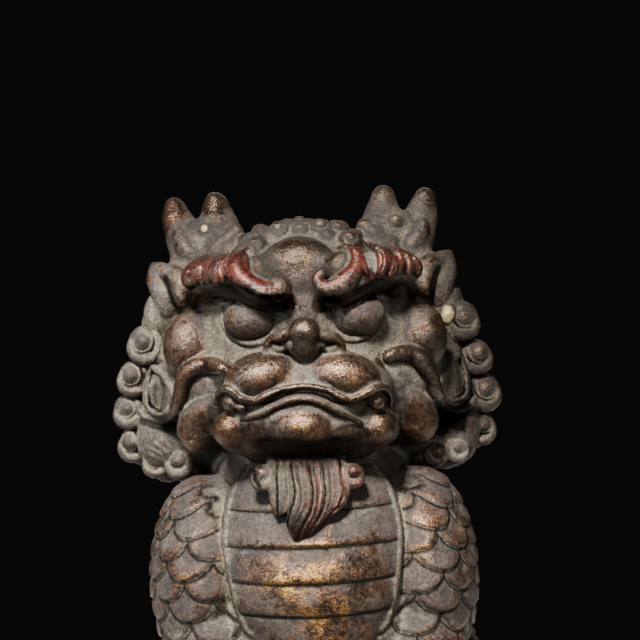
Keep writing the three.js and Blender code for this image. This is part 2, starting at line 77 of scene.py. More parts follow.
def ball(centre, radius):
    """An egg with three equal radii."""
    return egg(centre, (radius,) * 3, across=36, down=24)


def unit(vectors):
    """Each vector divided by its length."""
    return vectors / np.maximum(np.linalg.norm(vectors, axis=-1, keepdims=True), 1e-9)


def along(share, values):
    """Values given at even steps of a line, taken at a share of it, straight between the steps."""
    return np.interp(share, np.linspace(0, 1, len(values)), values)


def smooth_line(points, step=0.6):
    """Points evenly spaced by length on a curve through the given ones, each stretch a cubic whose
    slope at a point is half the way between that point's neighbours."""
    p = np.asarray(points, float)
    p = np.vstack([2 * p[0] - p[1], p, 2 * p[-1] - p[-2]])
    t = np.linspace(0, len(p) - 3, 24 * (len(p) - 3) + 1)
    i = np.minimum(t.astype(int), len(p) - 4)
    f = (t - i)[:, None]
    a, b, c, d = p[i], p[i + 1], p[i + 2], p[i + 3]
    curve = b + 0.5 * f * (c - a + f * (2 * a - 5 * b + 4 * c - d + f * (3 * b - a - 3 * c + d)))
    length = np.concatenate([[0], np.cumsum(np.linalg.norm(np.diff(curve, axis=0), axis=1))])
    at = np.linspace(0, length[-1], max(6, int(length[-1] / step)))
    return np.column_stack([np.interp(at, length, curve[:, k]) for k in range(3)])


def lock(points, radii, flat=1.0, face=FRONT, across=26, ribs=lambda angle, share: 0):
    """A round section carried along a smooth line. Its radius runs evenly through the given ones and
    closes as a ball does at each end; flat is its thickness as a share of its width, towards the
    way it faces. Ribs(angle, share) gives what is taken off the radius, as a share of it."""
    line = smooth_line(points)
    share = np.linspace(0, 1, len(line))
    tangent = unit(np.gradient(line, axis=0))
    side = unit(np.cross(tangent, face))
    radius = along(share, radii)
    length = np.linalg.norm(np.diff(line, axis=0), axis=1).sum()
    for end, from_end in ((0, share), (-1, 1 - share)):
        inward = np.clip(1 - from_end * length / max(radii[end], 0.3), 0, 1)
        radius = radius * np.sqrt(1 - 0.985 * inward**2)
    angle = np.linspace(0, 2 * np.pi, across, endpoint=False)[None]
    reach = radius[:, None] * (1 - ribs(angle, share[:, None]))
    spokes = side[:, None] * (np.cos(angle) * reach)[..., None]
    spokes = spokes + np.cross(side, tangent)[:, None] * (np.sin(angle) * reach * flat)[..., None]
    return closed(line[:, None] + spokes)


def curl(centre, size, face=FRONT, hand=1, start=120, sweep=300, boss=(0.02, 0.14, 0.5)):
    """A snail curl: a boss, which is a ball off the middle, and a ridge round it, which is a lock
    whose middle line winds in and whose radius is greatest below. Hand is 1 or -1, the way it
    winds. Boss is how far it stands to the side and up, and its radius, as shares of the size."""
    out = unit(np.array(face, float))
    side = unit(np.cross((0, 0, 1), out))
    rise = np.cross(out, side)

    def place(x, y, lift):
        """A place on the curl: so many sizes to its side, up, and out of its face."""
        x, y, lift = (np.asarray(v, float)[..., None] for v in (x, y, lift))
        return np.asarray(centre) + size * (hand * x * side + y * rise + lift * out)

    share = np.linspace(0, 1, 13)
    angle = np.radians(start + sweep * share)
    reach = 0.74 - 0.12 * share
    ridge = place(reach * np.cos(angle), reach * np.sin(angle), 0.16 + 0.1 * share)
    low = 0.5 - 0.5 * np.sin(angle)
    radii = size * (0.1 + 0.23 * low) * np.sqrt(np.minimum(1, 3.2 * (1 - share) + 0.2))
    return [
        lock(ridge, radii, face=out, across=20),
        ball(place(boss[0], boss[1], 0.2), boss[2] * size),
        ball(place(0.06, 0.1, -0.28), 0.8 * size),
    ]


def on_side(side, points):
    """Points for a side, -1 or 1, that are given for the side of 1: x is multiplied by the side."""
    return np.asarray(points, float) * (side, 1, 1)


def both(make):
    """What is made once for each side: make gets what puts points on that side, and the side."""
    return [form for side in (-1, 1) for form in make(lambda p, side=side: on_side(side, p), side)]


def reach_of(eggs, axis_y, angle, z):
    """How far a body made of eggs stands out from an upright axis, in the direction of an angle at a
    height: the farthest root of each egg's quadratic, and never under 5."""
    dx, dy = np.cos(angle), np.sin(angle)
    far = np.full(np.broadcast(angle, z).shape, 5.0)
    for (cx, cy, cz), (rx, ry, rz) in eggs:
        a = (dx / rx) ** 2 + (dy / ry) ** 2
        b = -cx * dx / rx**2 + (axis_y - cy) * dy / ry**2
        c = (cx / rx) ** 2 + ((axis_y - cy) / ry) ** 2 - 1 + ((z - cz) / rz) ** 2
        root = b * b - a * c
        far = np.maximum(far, np.where(root > 0, (np.sqrt(np.abs(root)) - b) / a, 0))
    return far


def bump(x):
    """A smooth step from 0 at 0 to 1 at 1."""
    x = np.clip(x, 0, 1)
    return x * x * (3 - 2 * x)


# Casting: many closed surfaces become one skin


def joined(forms):
    """Several surfaces as one list of points and one of quads."""
    starts = np.cumsum([0] + [len(points) for points, _ in forms])
    return (
        np.concatenate([points for points, _ in forms]),
        np.concatenate([quads + start for (_, quads), start in zip(forms, starts)]),
    )


def mesh_of(name, points, faces):
    """A mesh from an array of points and one of faces that all have as many corners."""
    mesh = bpy.data.meshes.new(name)
    mesh.vertices.add(len(points))
    mesh.vertices.foreach_set("co", points.astype(np.float32).ravel())
    mesh.loops.add(faces.size)
    mesh.loops.foreach_set("vertex_index", faces.astype(np.int32).ravel())
    mesh.polygons.add(len(faces))
    mesh.polygons.foreach_set("loop_start", np.arange(0, faces.size, faces.shape[1], dtype=np.int32))
    mesh.update(calc_edges=True)
    return mesh


def through_modifier(points, faces, kind, corners, **settings):
    """The points and faces of a mesh after one modifier."""
    blank = bpy.data.objects.new("blank", mesh_of("blank", points, faces))
    bpy.context.scene.collection.objects.link(blank)
    modifier = blank.modifiers.new("change", kind)
    for key, value in settings.items():
        setattr(modifier, key, value)
    changed = blank.evaluated_get(bpy.context.evaluated_depsgraph_get()).to_mesh()
    new_points = np.empty(len(changed.vertices) * 3, np.float32)
    changed.vertices.foreach_get("co", new_points)
    new_faces = np.empty(len(changed.loops), np.int32)
    changed.loops.foreach_get("vertex_index", new_faces)
    mesh = blank.data
    bpy.data.objects.remove(blank)
    bpy.data.meshes.remove(mesh)
    return new_points.reshape(-1, 3).astype(float), new_faces.reshape(-1, corners)


def cast(forms, grain=GRAIN):
    """One skin over all the forms, in small square cells: what lies inside another form is gone."""
    points, faces = joined(forms)
    return through_modifier(points, faces, "REMESH", 4, mode="VOXEL", voxel_size=grain)


def pairs_of(faces):
    """Every two neighbouring points, each pair both ways round."""
    return faces.ravel(), np.roll(faces, -1, axis=1).ravel()


def mean_around(values, pairs):
    """For each point, the mean of its neighbours' values."""
    here, there = pairs
    count = np.bincount(here, minlength=len(values))
    sums = [np.bincount(here, v[there], len(values)) for v in np.atleast_2d(values.T)]
    return np.squeeze(np.column_stack(sums) / np.maximum(count, 1)[:, None])


def relax(points, pairs, millimetres, share=1.0, grain=GRAIN):
    """Softens edges and creases over about this width: each point goes half way to the mean of its
    neighbours, as often as the grain asks, by a share of its own."""
    for _ in range(int(round(2 * (millimetres / grain) ** 2))):
        points = points + 0.5 * np.asarray(share)[..., None] * (mean_around(points, pairs) - points)
    return points


def normals_of(points, faces):
    """Each point's outward direction: the sum of the faces' areas around it, where a face's area is
    half the cross product of its two diagonals, or of two sides."""
    corner = points[faces]
    across = np.cross(corner[:, 2] - corner[:, 0], corner[:, -1] - corner[:, 1])
    across = np.repeat(across, faces.shape[1], axis=0)
    return unit(np.column_stack([np.bincount(faces.ravel(), part, len(points)) for part in across.T]))


def near_line(points, line, width):
    """The points within a width of a line: their places in the list, their distances, and how far
    along the line they lie, from 0 to 1."""
    line = smooth_line(line) if len(line) > 1 else np.repeat(np.asarray(line, float), 2, axis=0)
    inside = ((points > line.min(0) - width) & (points < line.max(0) + width)).all(axis=1)
    pick = np.flatnonzero(inside)
    start, run = line[:-1], np.diff(line, axis=0)
    rel = points[pick, None] - start
    t = np.clip((rel * run).sum(-1) / np.maximum((run * run).sum(-1), 1e-9), 0, 1)
    gap = np.linalg.norm(rel - t[..., None] * run, axis=-1)
    best = gap.argmin(axis=1)
    row = np.arange(len(pick))
    return pick, gap[row, best], (best + t[row, best]) / len(run)


def carve(points, normals, line, widths, depths):
    """Moves points along their normals by a groove: depth (1 - (distance / width)^2)^2, where width
    and depth run evenly through the given ones along the line."""
    pick, gap, share = near_line(points, line, max(widths))
    fall = along(share, depths) * np.clip(1 - (gap / along(share, widths)) ** 2, 0, None) ** 2
    points[pick] -= normals[pick] * fall[:, None]


def waves(points, length, seed, count=18):
    """An even, smooth unevenness between about -1 and 1: a sum of sines in random directions whose
    wave lengths lie about the given one."""
    chance = np.random.default_rng(seed)
    ways = unit(chance.normal(size=(count, 3))) * 2 * np.pi / length
    ways = ways * chance.uniform(0.6, 1.5, (count, 1))
    phase = chance.uniform(0, 2 * np.pi, count)
    return np.sin(points @ ways.T + phase).sum(axis=1) / np.sqrt(count)


def laid(cloud, line, lift=0.0):
    """A line drawn from the front, as x and z: each point gets the y of the foremost of the cloud's
    points near it, and stands off it by the lift."""
    line = np.asarray(line, float)
    off = np.abs(cloud[None, :, ::2] - line[:, None, :2]).max(axis=-1)
    y = np.where(off < 0.8, cloud[None, :, 1], 99).min(axis=1)
    return np.column_stack([line[:, 0], y - np.asarray(lift), line[:, 1]])


def between(lines):
    """The lines that run between neighbours, each the mean of two, place by place."""
    share = np.linspace(0, 1, 9)
    even = [np.column_stack([along(share, part) for part in np.array(line, float).T]) for line in lines]
    return [(a + b) / 2 for a, b in zip(even, even[1:])]


# The body

TRUNK = [
    ((0, -3, 52), (43, 40, 50)),
    ((33.5, -13, 63), (17, 25, 33)),
    ((-33.5, -13, 63), (17, 25, 33)),
    ((35, 19, 25), (18, 27, 27)),
    ((-35, 19, 25), (18, 27, 27)),
    ((31.5, -24, 32), (14, 14, 40)),
    ((-31.5, -24, 32), (14, 14, 40)),
    ((0, 12, 45), (36, 34, 52)),
]
TRUNK_AXIS = -2
TRUNK_TOP = 98
SCALE_STEP = 6.35  # from one row of scales to the next
SCALE_ROW = 2.2  # where the lowest row hangs from
SCALES_ROUND, SCALE_ROWS = 22, 16
SCALE_DROP = 7.8  # from a scale's row to its tip
SCALE_LIFT = 1.5


def scale_relief(turn, z):
    """The scales at a share of a turn and a height: how high they stand, where the groove under a
    scale's edge runs, and where their tips' rims are. A scale is a U hanging from its row, edge =
    1 - (|2u|^2.1 + v^2.1)^(1/2.1), and the highest row that a place lies in covers the others."""
    height, groove, rim = (np.zeros(np.broadcast(turn, z).shape) for _ in range(3))
    for row in range(1, SCALE_ROWS + 1):
        u = turn * SCALES_ROUND + 0.5 * (row % 2)
        u = np.abs(2 * (u - np.round(u)))
        v = np.clip((SCALE_ROW + row * SCALE_STEP - z) / SCALE_DROP, 0, None)
        edge = 1 - (u**2.1 + v**2.1) ** (1 / 2.1)
        swell = SCALE_LIFT * bump(edge / 0.1) * (1 - 0.62 * bump(edge / 0.95)) - 0.3 * u * u
        within = edge > 0
        height = np.where(within, swell, height)
        groove = np.where(within, 0, np.maximum(groove, bump((edge + 0.16) / 0.1) * (v < 1.2)))
        rim = np.where(within, bump(1.2 - np.abs(edge - 0.14) / 0.16) * bump(2 * v - 0.6), rim)
    fade = bump((99 - z) / 9)
    return (height - 0.45 * groove) * fade, groove * fade, rim * fade


def scaled_trunk():
    """The trunk, out from an upright axis at two parameters, angle and height, by the reach of its
    masses and the relief of its scales."""
    turn = np.linspace(0, 1, 1000, endpoint=False)[None]
    z = np.linspace(SUNK, TRUNK_TOP, 340)[:, None]
    out = reach_of(TRUNK, TRUNK_AXIS, 2 * np.pi * turn, z) + scale_relief(turn, z)[0]
    x = out * np.cos(2 * np.pi * turn)
    y = TRUNK_AXIS + out * np.sin(2 * np.pi * turn)
    return closed(np.stack([x, y, z + 0 * x], axis=-1))


BELLY_FRONT = np.array(
    [[0, -38], [12, -39.5], [26, -42.5], [40, -46], [52, -48.8], [62, -50], [74, -48.6], [84, -45.5],
     [94, -40], [101, -34]], float
)
BELLY_HALF = np.array(
    [[0, 15], [20, 16.5], [34, 18.5], [47.5, 22.2], [57, 25.7], [65, 27], [74, 28.4], [83, 28],
     [91, 25.5], [101, 19]], float
)
BELLY_DEPTH = 16
PLATE_LINES = np.array([-6, 8, 19.6, 31, 42.4, 54, 64, 75, 86, 98, 110])
PLATE_SAG = 1.4


def belly_point(angle, z, swell=0.0):
    """A place on the belly: half an ellipse about an upright line behind its front."""
    x = (np.interp(z, *BELLY_HALF.T) + 0.5 * swell) * np.cos(angle)
    y = np.interp(z, *BELLY_FRONT.T) + BELLY_DEPTH + (BELLY_DEPTH + swell) * np.sin(angle)
    return np.stack([x, y, z + 0 * angle], axis=-1)


def plate_at(across, z):
    """How far a place on the belly lies above its plate's lower lip, in millimetres and as a share
    of the plate. Across is -1 to 1, and the lips sag in the middle."""
    line = z + PLATE_SAG * (1 - np.abs(across) ** 2.2)
    plate = np.clip(np.searchsorted(PLATE_LINES, line) - 1, 0, len(PLATE_LINES) - 2)
    low, high = PLATE_LINES[plate], PLATE_LINES[plate + 1]
    return line - low, (line - low) / (high - low)


def plated_belly():
    """The plated belly at two parameters, angle and height. A plate rises quickly from its lower
    lip, is fullest a little above it and falls away towards the plate above."""
    z = np.linspace(SUNK, 101, 460)[:, None]
    front = np.linspace(-np.pi, 0, 200)[None]
    v, share = plate_at(np.cos(front), z)
    swell = 1.3 * bump(v / 0.9) * (1 - 0.85 * share**1.3) - 0.9 + 0.4 * np.sin(np.pi * share)
    face = belly_point(front, z, swell)
    back = np.linspace(1, -1, 20)[None, 1:-1]
    half = np.interp(z, *BELLY_HALF.T) * 0.7
    rear = np.stack([half * back, 4 + 0 * half * back, z + 0 * back], axis=-1)
    return closed(np.concatenate([face, rear], axis=1))


def border_cord(side):
    """The raised cord between the belly and the scales: a lock along the belly's edge."""
    z = np.linspace(8, 99, 20)
    angle = -np.pi / 2 + side * (np.pi / 2 - 0.34)
    line = belly_point(np.full_like(z, angle), z, 0.9)
    return lock(line, [0.6, 0.8, 0.8, 0.8, 0.6], face=(side * 0.5, -1, 0))


def limbs(at, side):
    """A foreleg that swells upwards, its hoof of three toes, the hind foot beside it and the crease
    towards the belly: locks that run down and forwards, and an egg for each foot."""
    toes = [
        [(31 + x, -38, 5.5), (31 + 1.2 * x, -43.5, 4.4), (31 + 1.3 * x, -46.3, 1.5)]
        for x in (-4.6, 0, 4.6)
    ]
    return [
        lock(at([(31.5, -26, 34), (31.5, -31, 20), (31, -34, 6)]), [12, 10.5, 8.6], across=48),
        egg(at((31, -37.5, 2.5)), (8.6, 9.4, 6.5)),
        *[lock(at(toe), [3.2, 3.4, 2.2]) for toe in toes],
        lock(at([(40, -6, 8), (41, -18, 7), (41.5, -25, 5)]), [9, 7.5, 6.5], face=(0, 0, 1)),
        egg(at((41.5, -26, 2.5)), (7.4, 8.4, 6.2)),
        lock(at([(22, -31.5, 33), (21, -36, 22), (20.5, -38.5, 12)]), [1.2, 2.6, 0.8]),
    ]


def tail():
    """An egg for the root, and three locks that stand against the back and lean out with height. The
    combing takes a share of 0.05 (1 + cos of nine times the angle) off a lock's radius."""
    comb = lambda angle, share: 0.1 * (0.5 + 0.5 * np.cos(9 * angle)) * bump(4 * share)
    forms = [egg((0, 38, 24), (15, 11, 26))]
    for x, tip in ((0, 74), (7, 60), (-7, 60)):
        line = [
            (0.3 * x, 40, 3), (x, 45, 20), (1.5 * x, 45.2, 38), (2 * x, 42, tip - 6), (2.4 * x, 43.5, tip),
        ]
        forms.append(lock(line, [6, 6.5, 6, 4.5, 1], face=(0, 1, 0), across=60, ribs=comb))
    return forms


# The base: a slab with round corners whose sides lean in to the top
BASE_HALF = (56.0, 55.0)
BASE_CORNER = 26.0
# The base's levels: height, and how far the outline is drawn in there
BASE_LEVELS = [(-BASE_TOP, 0.35), (-BASE_TOP + 0.35, 0), (-0.5, 1.35), (-0.15, 1.6), (0, 2.1)]


def base():
    """The outline is a rectangle's corners, each pushed out by a quarter of a circle. The sides lean
    in by 1.35 mm, and the top edge is rounded off over half a millimetre."""
    a = np.linspace(0, 2 * np.pi, 240, endpoint=False)
    corner = np.array(BASE_HALF) - BASE_CORNER
    outline = np.stack([np.cos(a), np.sin(a)], axis=-1)
    outline = corner * np.sign(np.round(outline, 9)) + BASE_CORNER * outline
    rows = [
        np.column_stack([outline * (1 - draft / np.array(BASE_HALF)), np.full(len(a), z)])
        for z, draft in BASE_LEVELS
    ]
    return closed(np.stack(rows))


# The head

CHEEKS = ((0, -12, 125), (44.5, 26.5, 27))
MUZZLE = ((0, -33, 121), (27, 20, 15))
HEAD = [
    CHEEKS,
    MUZZLE,
    ((0, -31, 108.5), (28.5, 21, 10)),
    ((0, -6, 134), (38, 36, 38)),
    ((0, 6, 124), (53, 30, 36)),
    ((0, -21, 155), (30.5, 16, 12)),
    ((0, -12, 160), (24, 16, 13)),
    ((-0.8, -34.6, 159), (12.5, 9, 9.8)),
    ((44, 1, 107), (11, 12, 13)),
    ((-44, 1, 107), (11, 12, 13)),
    ((0, -3, 95), (31, 31, 16)),
]
HEAD_AXIS = -8


CROWN_LUMPS = [
    (-3.6, -17.4, 170.6, 4.4), (3.2, -17, 170.2, 4.6), (11.2, -16, 169.4, 4.6), (15.8, -23, 166.4, 4),
    (-13.6, -24.4, 166.2, 3.8), (-15.6, -28, 163.4, 3.4), (-9.6, -19, 168.8, 4), (8, -21.6, 168, 3.4),
]


JAW = [(-25, -37, 109), (-14, -42.4, 112), (-1.5, -44.4, 114), (11, -42.4, 111.4), (22, -38, 107.6)]
MOUTH_FILL = [
    (-21, -43.4, 116.8), (-15, -47.2, 117.2), (-6, -50, 119.6), (0, -50.4, 120), (6, -50, 118.6),
    (12, -47.8, 116.2), (18, -45, 115.4),
]


def head_masses():
    """The head's skin, out from an upright axis at angle and height by the reach of its masses, and
    the masses of the muzzle, chin, nose and bridge."""
    angle = np.linspace(0, 2 * np.pi, 400, endpoint=False)[None]
    z = np.linspace(82, 172.5, 240)[:, None]
    out = reach_of(HEAD, HEAD_AXIS, angle, z)
    skin = np.stack([out * np.cos(angle), HEAD_AXIS + out * np.sin(angle), z + 0 * out], axis=-1)
    return [
        closed(skin),
        egg((-13.4, -45.6, 126), (11.8, 9.6, 8), (0, -10, 0)),
        egg((11.6, -45.6, 125.1), (11.8, 9.6, 8), (0, 12, 0)),
        lock(JAW, [4.6, 5.6, 6, 5.6, 4.6], flat=1.25),
        egg((-1.8, -47.6, 110.8), (10, 8.2, 6.4)),
        lock(MOUTH_FILL, [3, 3.4, 3.4, 3.4, 3.4, 3.6, 3.2]),
        egg((0, -37.4, 147.4), (7, 8, 12.6)),
        egg((-4, -38.4, 140.4), (3.8, 5.6, 6), (0, 12, 0)),
        egg((4, -38.4, 139.8), (3.8, 5.6, 6), (0, -12, 0)),
        egg((-34.4, -22.2, 136), (10.4, 8.4, 11.4), (0, 0, 32)),
        egg((34.8, -22.2, 136), (10.4, 8.4, 11.4), (0, 0, -32)),
        egg((-13.4, -38, 158.4), (5, 5, 5.4)),
        egg((11.6, -42, 158.6), (5.2, 4.6, 5.2)),
        egg((-24, -42.6, 110.4), (5.2, 5.8, 5.8)),
        egg((21.4, -43, 109.4), (5.4, 5.8, 5.6)),
        *[ball(at, radius) for *at, radius in CROWN_LUMPS],
        *both(antlers_and_ears),
    ]


UPPER_LIP = [
    (-27.6, 118.2), (-27.2, 121), (-24.9, 123.2), (-22.5, 122.6), (-20, 120.3), (-16, 119.1), (-12.7, 120.2),
    (-7.8, 122.1), (-0.8, 122.9), (6, 121.7), (10, 119.5), (13.6, 118.5), (17.3, 119.7), (20.6, 121.2),
    (23.4, 121.5), (25.6, 118.6), (25.4, 115.4),
]
LOWER_LIP = [
    (-20.3, 113.4), (-17, 114.1), (-12.9, 115.5), (-9.6, 117.2), (-4.6, 119), (-1, 119.3), (2.6, 118.6),
    (6.2, 116.8), (9.8, 114.7), (12.9, 113), (16.6, 110.6),
]
MOUTH_LINE = [
    (-22.5, 119.5), (-20.1, 118.6), (-16, 117.5), (-11.1, 118.5), (-6.2, 120.5), (-0.9, 121.1), (4.3, 120.1),
    (8.7, 117.7), (12.3, 116.8), (16.4, 117.4), (20, 118.4),
]
NOSE_WING = [
    (-3.6, -51, 139.4), (-6.6, -50, 138.5), (-9.8, -48.6, 137), (-11, -48, 134.6), (-9.6, -48.2, 132.9),
    (-7.8, -48.8, 133.4),
]


def muzzle_forms(cloud):
    """The lips, which are locks laid on the muzzle; the nose, a ball over a smaller one that two
    locks draw to a point; its wings, which curl round the nostrils; and the mouth's corners."""
    wing = np.array(NOSE_WING)
    return [
        lock(laid(cloud, UPPER_LIP, 0.3), [0.7, 1.1, 1.3, 1.1, 0.9, 0.9, 0.9, 1.1, 1.3, 1.1, 0.7], flat=1.3),
        lock(laid(cloud, LOWER_LIP), [0.3, 0.8, 1, 1, 1, 0.8, 0.3], flat=1.2),
        egg((0.2, -52.2, 139.3), (4.7, 4.5, 4.5)),
        egg((0, -50.8, 136), (3.8, 4.8, 4)),
        lock([(-4.6, -48.8, 137.2), (-2.5, -50.4, 134.4), (-0.5, -51, 131)], [2, 2.2, 0.9]),
        lock([(4.4, -48.8, 136.6), (2.2, -50.4, 134), (-0.2, -51, 131)], [2, 2.2, 0.9]),
        egg((-7, -46.4, 136), (4.8, 4.6, 3.4), (0, -18, 0)),
        egg((7.2, -46.4, 135.3), (4.8, 4.6, 3.4), (0, 18, 0)),
        *[
            lock(line, [2.3, 2.1, 1.9, 1.7, 1.5, 0.9], flat=1.3)
            for line in (wing, on_side(-1, wing) + (0.3, 0, -0.8))
        ],
        egg(laid(cloud, [(-23, 118.8)], 2.6)[0], (2.4, 3, 3)),
        egg(laid(cloud, [(21.4, 117.2)], 2.6)[0], (2.4, 3, 2.8)),
        egg(laid(cloud, [(-19.8, 117.3)], 1.8)[0], (1.7, 1.7, 1.2)),
    ]


WHISKER_LEFT = [(-24.5, 129.2), (-28.4, 130.1), (-34, 129.6), (-37.3, 127), (-38.8, 122.4), (-40.4, 118)]
WHISKER_LEFT_TIP = [(-44.4, -14.5, 114.4), (-49.4, -10, 113.9), (-52.6, -7.5, 115.8), (-53.6, -6.8, 118.4)]
WHISKER_RIGHT = [(24.2, 130), (28, 131.4), (32.5, 131.2), (36, 128.6), (38.6, 124), (40, 119.1)]
WHISKER_RIGHT_TIP = [(43, -15, 114.9), (47.4, -11, 113.2), (51.6, -8, 114.4), (53.4, -7, 117.4)]


LEAF_RIM = [
    (48.9, 130.4), (45.4, 127.6), (42.3, 124), (41.4, 120), (43.2, 116.6), (46.6, 115.4), (49.4, 117.2),
    (50.2, 121.4), (49.8, 126), (49, 129.6),
]
LOWER_LOBE = [(28.6, -30, 121.4), (31.4, -27, 117.6), (33.6, -22.6, 112.6), (34, -21, 107.6), (33, -19, 105)]
EYE_RIM = [
    (24.8, 148.6), (25, 144.4), (23.4, 140.4), (20, 137.3), (16, 136.2), (11.4, 137), (7.8, 139.8),
    (5.9, 143.4),
]


def cheek_forms(cloud):
    """For each side: a whisker, laid on the cheek and then free to its tip; an eye and the rim under
    it; the lower cheek; and a leaf, whose rim is three locks behind one another round a dish."""
    forms = []
    for x, line, tip in ((-1, WHISKER_LEFT, WHISKER_LEFT_TIP), (1, WHISKER_RIGHT, WHISKER_RIGHT_TIP)):
        whisker = np.vstack([laid(cloud, line, 0.9), tip])
        forms += [
            lock(whisker, [1.9, 2.5, 2.7, 2.7, 2.5, 2.2, 1.9, 1.6, 0.8], face=(x * 0.4, -1, 0)),
            egg((15.6 * x + 0.3, -35.4, 143.9), (9.4, 8.7, 7.2), (0, 0, -8 * x)),
            lock(laid(cloud, [(x * a - 0.3, z) for a, z in EYE_RIM], 0.1), [0.3, 0.6, 0.8, 0.7, 0.3]),
            lock(on_side(x, LOWER_LOBE), [1.2, 4.2, 6.4, 6.8, 5]),
            egg((42.8 * x, -12.8, 122.4), (9.4, 4.6, 9.6), (0, 0, 51 * x)),
        ]
        for back, big in ((0, 1), (2.4, 1.4), (5, 1.6)):
            rim = [(x * a, -15.6 + back + 1.25 * (a - 45.6), z) for a, z in LEAF_RIM]
            forms.append(lock(rim, big * np.array([0.6, 1.1, 1.3, 1.4, 1.3, 1.1, 0.6])))
    return forms


BROW = [
    (5, -44.3, 151.8), (9.5, -45.2, 151), (14, -43.8, 152.6), (20, -39.5, 156.4), (26, -34, 158),
    (32, -27.5, 157.6), (36.5, -22, 157),
]
BROW_RADII = [4.0, 5.0, 5.6, 6.6, 6.8, 5.4, 2.2]
LEFT_LOBE = [
    (-17.4, -40, 165.2), (-19.6, -43.4, 162), (-19.4, -46, 158.4), (-17.2, -47.6, 155.4),
    (-14.4, -48.6, 153.2), (-11.4, -49.2, 151.8), (-8.4, -49.4, 151.4),
]
LEFT_LOBE_RADII = [0.7, 2, 2.9, 3.2, 3.3, 3.3, 3.3]
RIGHT_LOBE = [
    (11.3, -40, 164.3), (13.5, -41.6, 164.8), (15.9, -43.2, 163.7), (17, -44.8, 161.6), (16.9, -46, 159),
    (15.5, -47.4, 156.2), (12.9, -48.6, 153.8), (9.6, -49.4, 152.4), (6.4, -49.6, 152.8), (4.8, -49.5, 155.2),
    (6, -49.4, 157), (8, -49.2, 157),
]
RIGHT_LOBE_RADII = [0.6, 1.1, 1.6, 2, 2.5, 3, 3.3, 3.4, 2.9, 2.1, 1.6, 1.2]
LEFT_CLAWS = [
    [(-17.6, 164.8), (-16.9, 162.5), (-17, 160), (-16, 157.6)],
    [(-21.8, 164.6), (-23.1, 161.5), (-22.4, 158.2), (-20.3, 155)],
    [(-23.6, 163.6), (-25, 160.6), (-24.8, 157.6), (-23.2, 154.7)],
    [(-25.8, 162.6), (-27, 159.6), (-26.9, 157.2), (-25.2, 154.9)],
    [(-27.8, 162), (-29, 159.2), (-28.9, 157), (-27.7, 154.9)],
    [(-30, 161.6), (-31.1, 159.2), (-31, 156.8), (-29.7, 154.7)],
    [(-32, 161), (-33, 158.8), (-32.9, 156.4), (-31.7, 154.2)],
    [(-33.9, 159.9), (-35.2, 157.6), (-35, 155.2), (-33.5, 153)],
]
RIGHT_CLAWS = [
    [(18.4, 164.9), (18.1, 161.9), (18.9, 158.9), (20.2, 155.2)],
    [(20.9, 165.6), (24.2, 162.6), (24.6, 158.4), (22.9, 155)],
    [(24.3, 164.9), (26.4, 162.6), (26, 159), (24, 155)],
    [(26.5, 163), (28.2, 160.4), (28, 157.4), (26.4, 154.7)],
    [(28.8, 163.4), (30.5, 161), (30.2, 158.2), (28.8, 155.4)],
    [(31.6, 162.4), (33.1, 160), (33.2, 157.6), (32.2, 155.2)],
    [(34.2, 161), (35.6, 158.8), (35.8, 156.6), (35, 154.4)],
]


SIDES = [
    (-1, LEFT_CLAWS, LEFT_LOBE, LEFT_LOBE_RADII),
    (1, RIGHT_CLAWS, RIGHT_LOBE, RIGHT_LOBE_RADII),
]


def brow_forms():
    """Each brow is a thick roll; crescent locks lie over its upper half, and a smooth lobe runs down
    its inner end, from a hook to a curl."""
    forms = [ball((-6.9, -48.8, 152.6), 4)]
    for side, claws, lobe, lobe_radii in SIDES:
        roll = on_side(side, BROW)
        dense = lock(smooth_line(roll, 0.3), BROW_RADII, across=140)
        forms += [lock(roll, BROW_RADII, across=90), lock(lobe, lobe_radii)]
        for i, claw in enumerate(claws):
            line = laid(dense[0], claw, [0.1, 0.7, 0.9, 1.0])
            line[0, 1] = min(line[0, 1], line[1, 1] + 3)
            big = 1.8 if (side, i) == (1, 1) else 1.3
            forms.append(lock(line, [0.7, 0.9 * big, big, 0.85 * big, 0.35]))
    return forms


def antlers_and_ears(at, side):
    """An antler of two prongs from one root, folded like bark: its radius loses a share of 0.05 cos
    (3 angle + 4 share) + 0.03 cos(7 angle + 9 share). At its foot are two low ridges and a knob, and
    beside it hangs an ear of two petals."""
    folds = lambda angle, share: 0.05 * np.cos(3 * angle + 4 * share) + 0.03 * np.cos(7 * angle + 9 * share)
    inner = at([(21.5, -2, 156), (24.8, 3, 168), (26.6, 7, 177.5), (27, 8, 185.4)])
    outer = at([(30, 0, 156), (35.6, 6, 167.5), (39.4, 10, 176.5), (40.6, 12, 184.2)])
    return [
        lock(inner, [11, 9.6, 7.4, 5.5, 2.7], across=48, ribs=folds),
        lock(outer, [9, 7.8, 6.6, 5.2, 2.5], across=48, ribs=folds),
        egg(at((31.5, 4, 168)), (7.5, 6, 9)),
        lock(at([(19, -3, 174.4), (22, -4.6, 169), (28, -5, 165.4)]), [2.4, 3.4, 2.6], flat=0.7),
        lock(at([(40, 2, 173.6), (37, -1.6, 168), (33, -3.8, 164)]), [2.2, 3, 2.2], flat=0.7),
        ball(at((30.5, -1.8, 173.4)), 1.5 if side < 0 else 2.2),
        lock(at([(47, 1, 164), (46.6, -1, 158), (44, -3, 151.4), (43, -3.6, 144.5)]), [1.2, 3.3, 3.7, 2.6]),
        lock(
            at([(46.6, -0.5, 162.6), (42.8, -4, 160), (39, -7, 157.2), (37.8, -9.5, 148.4)]),
            [1.6, 3, 3.9, 2.8],
        ),
        egg(at((38, 1, 155)), (8, 7, 9)),
    ]


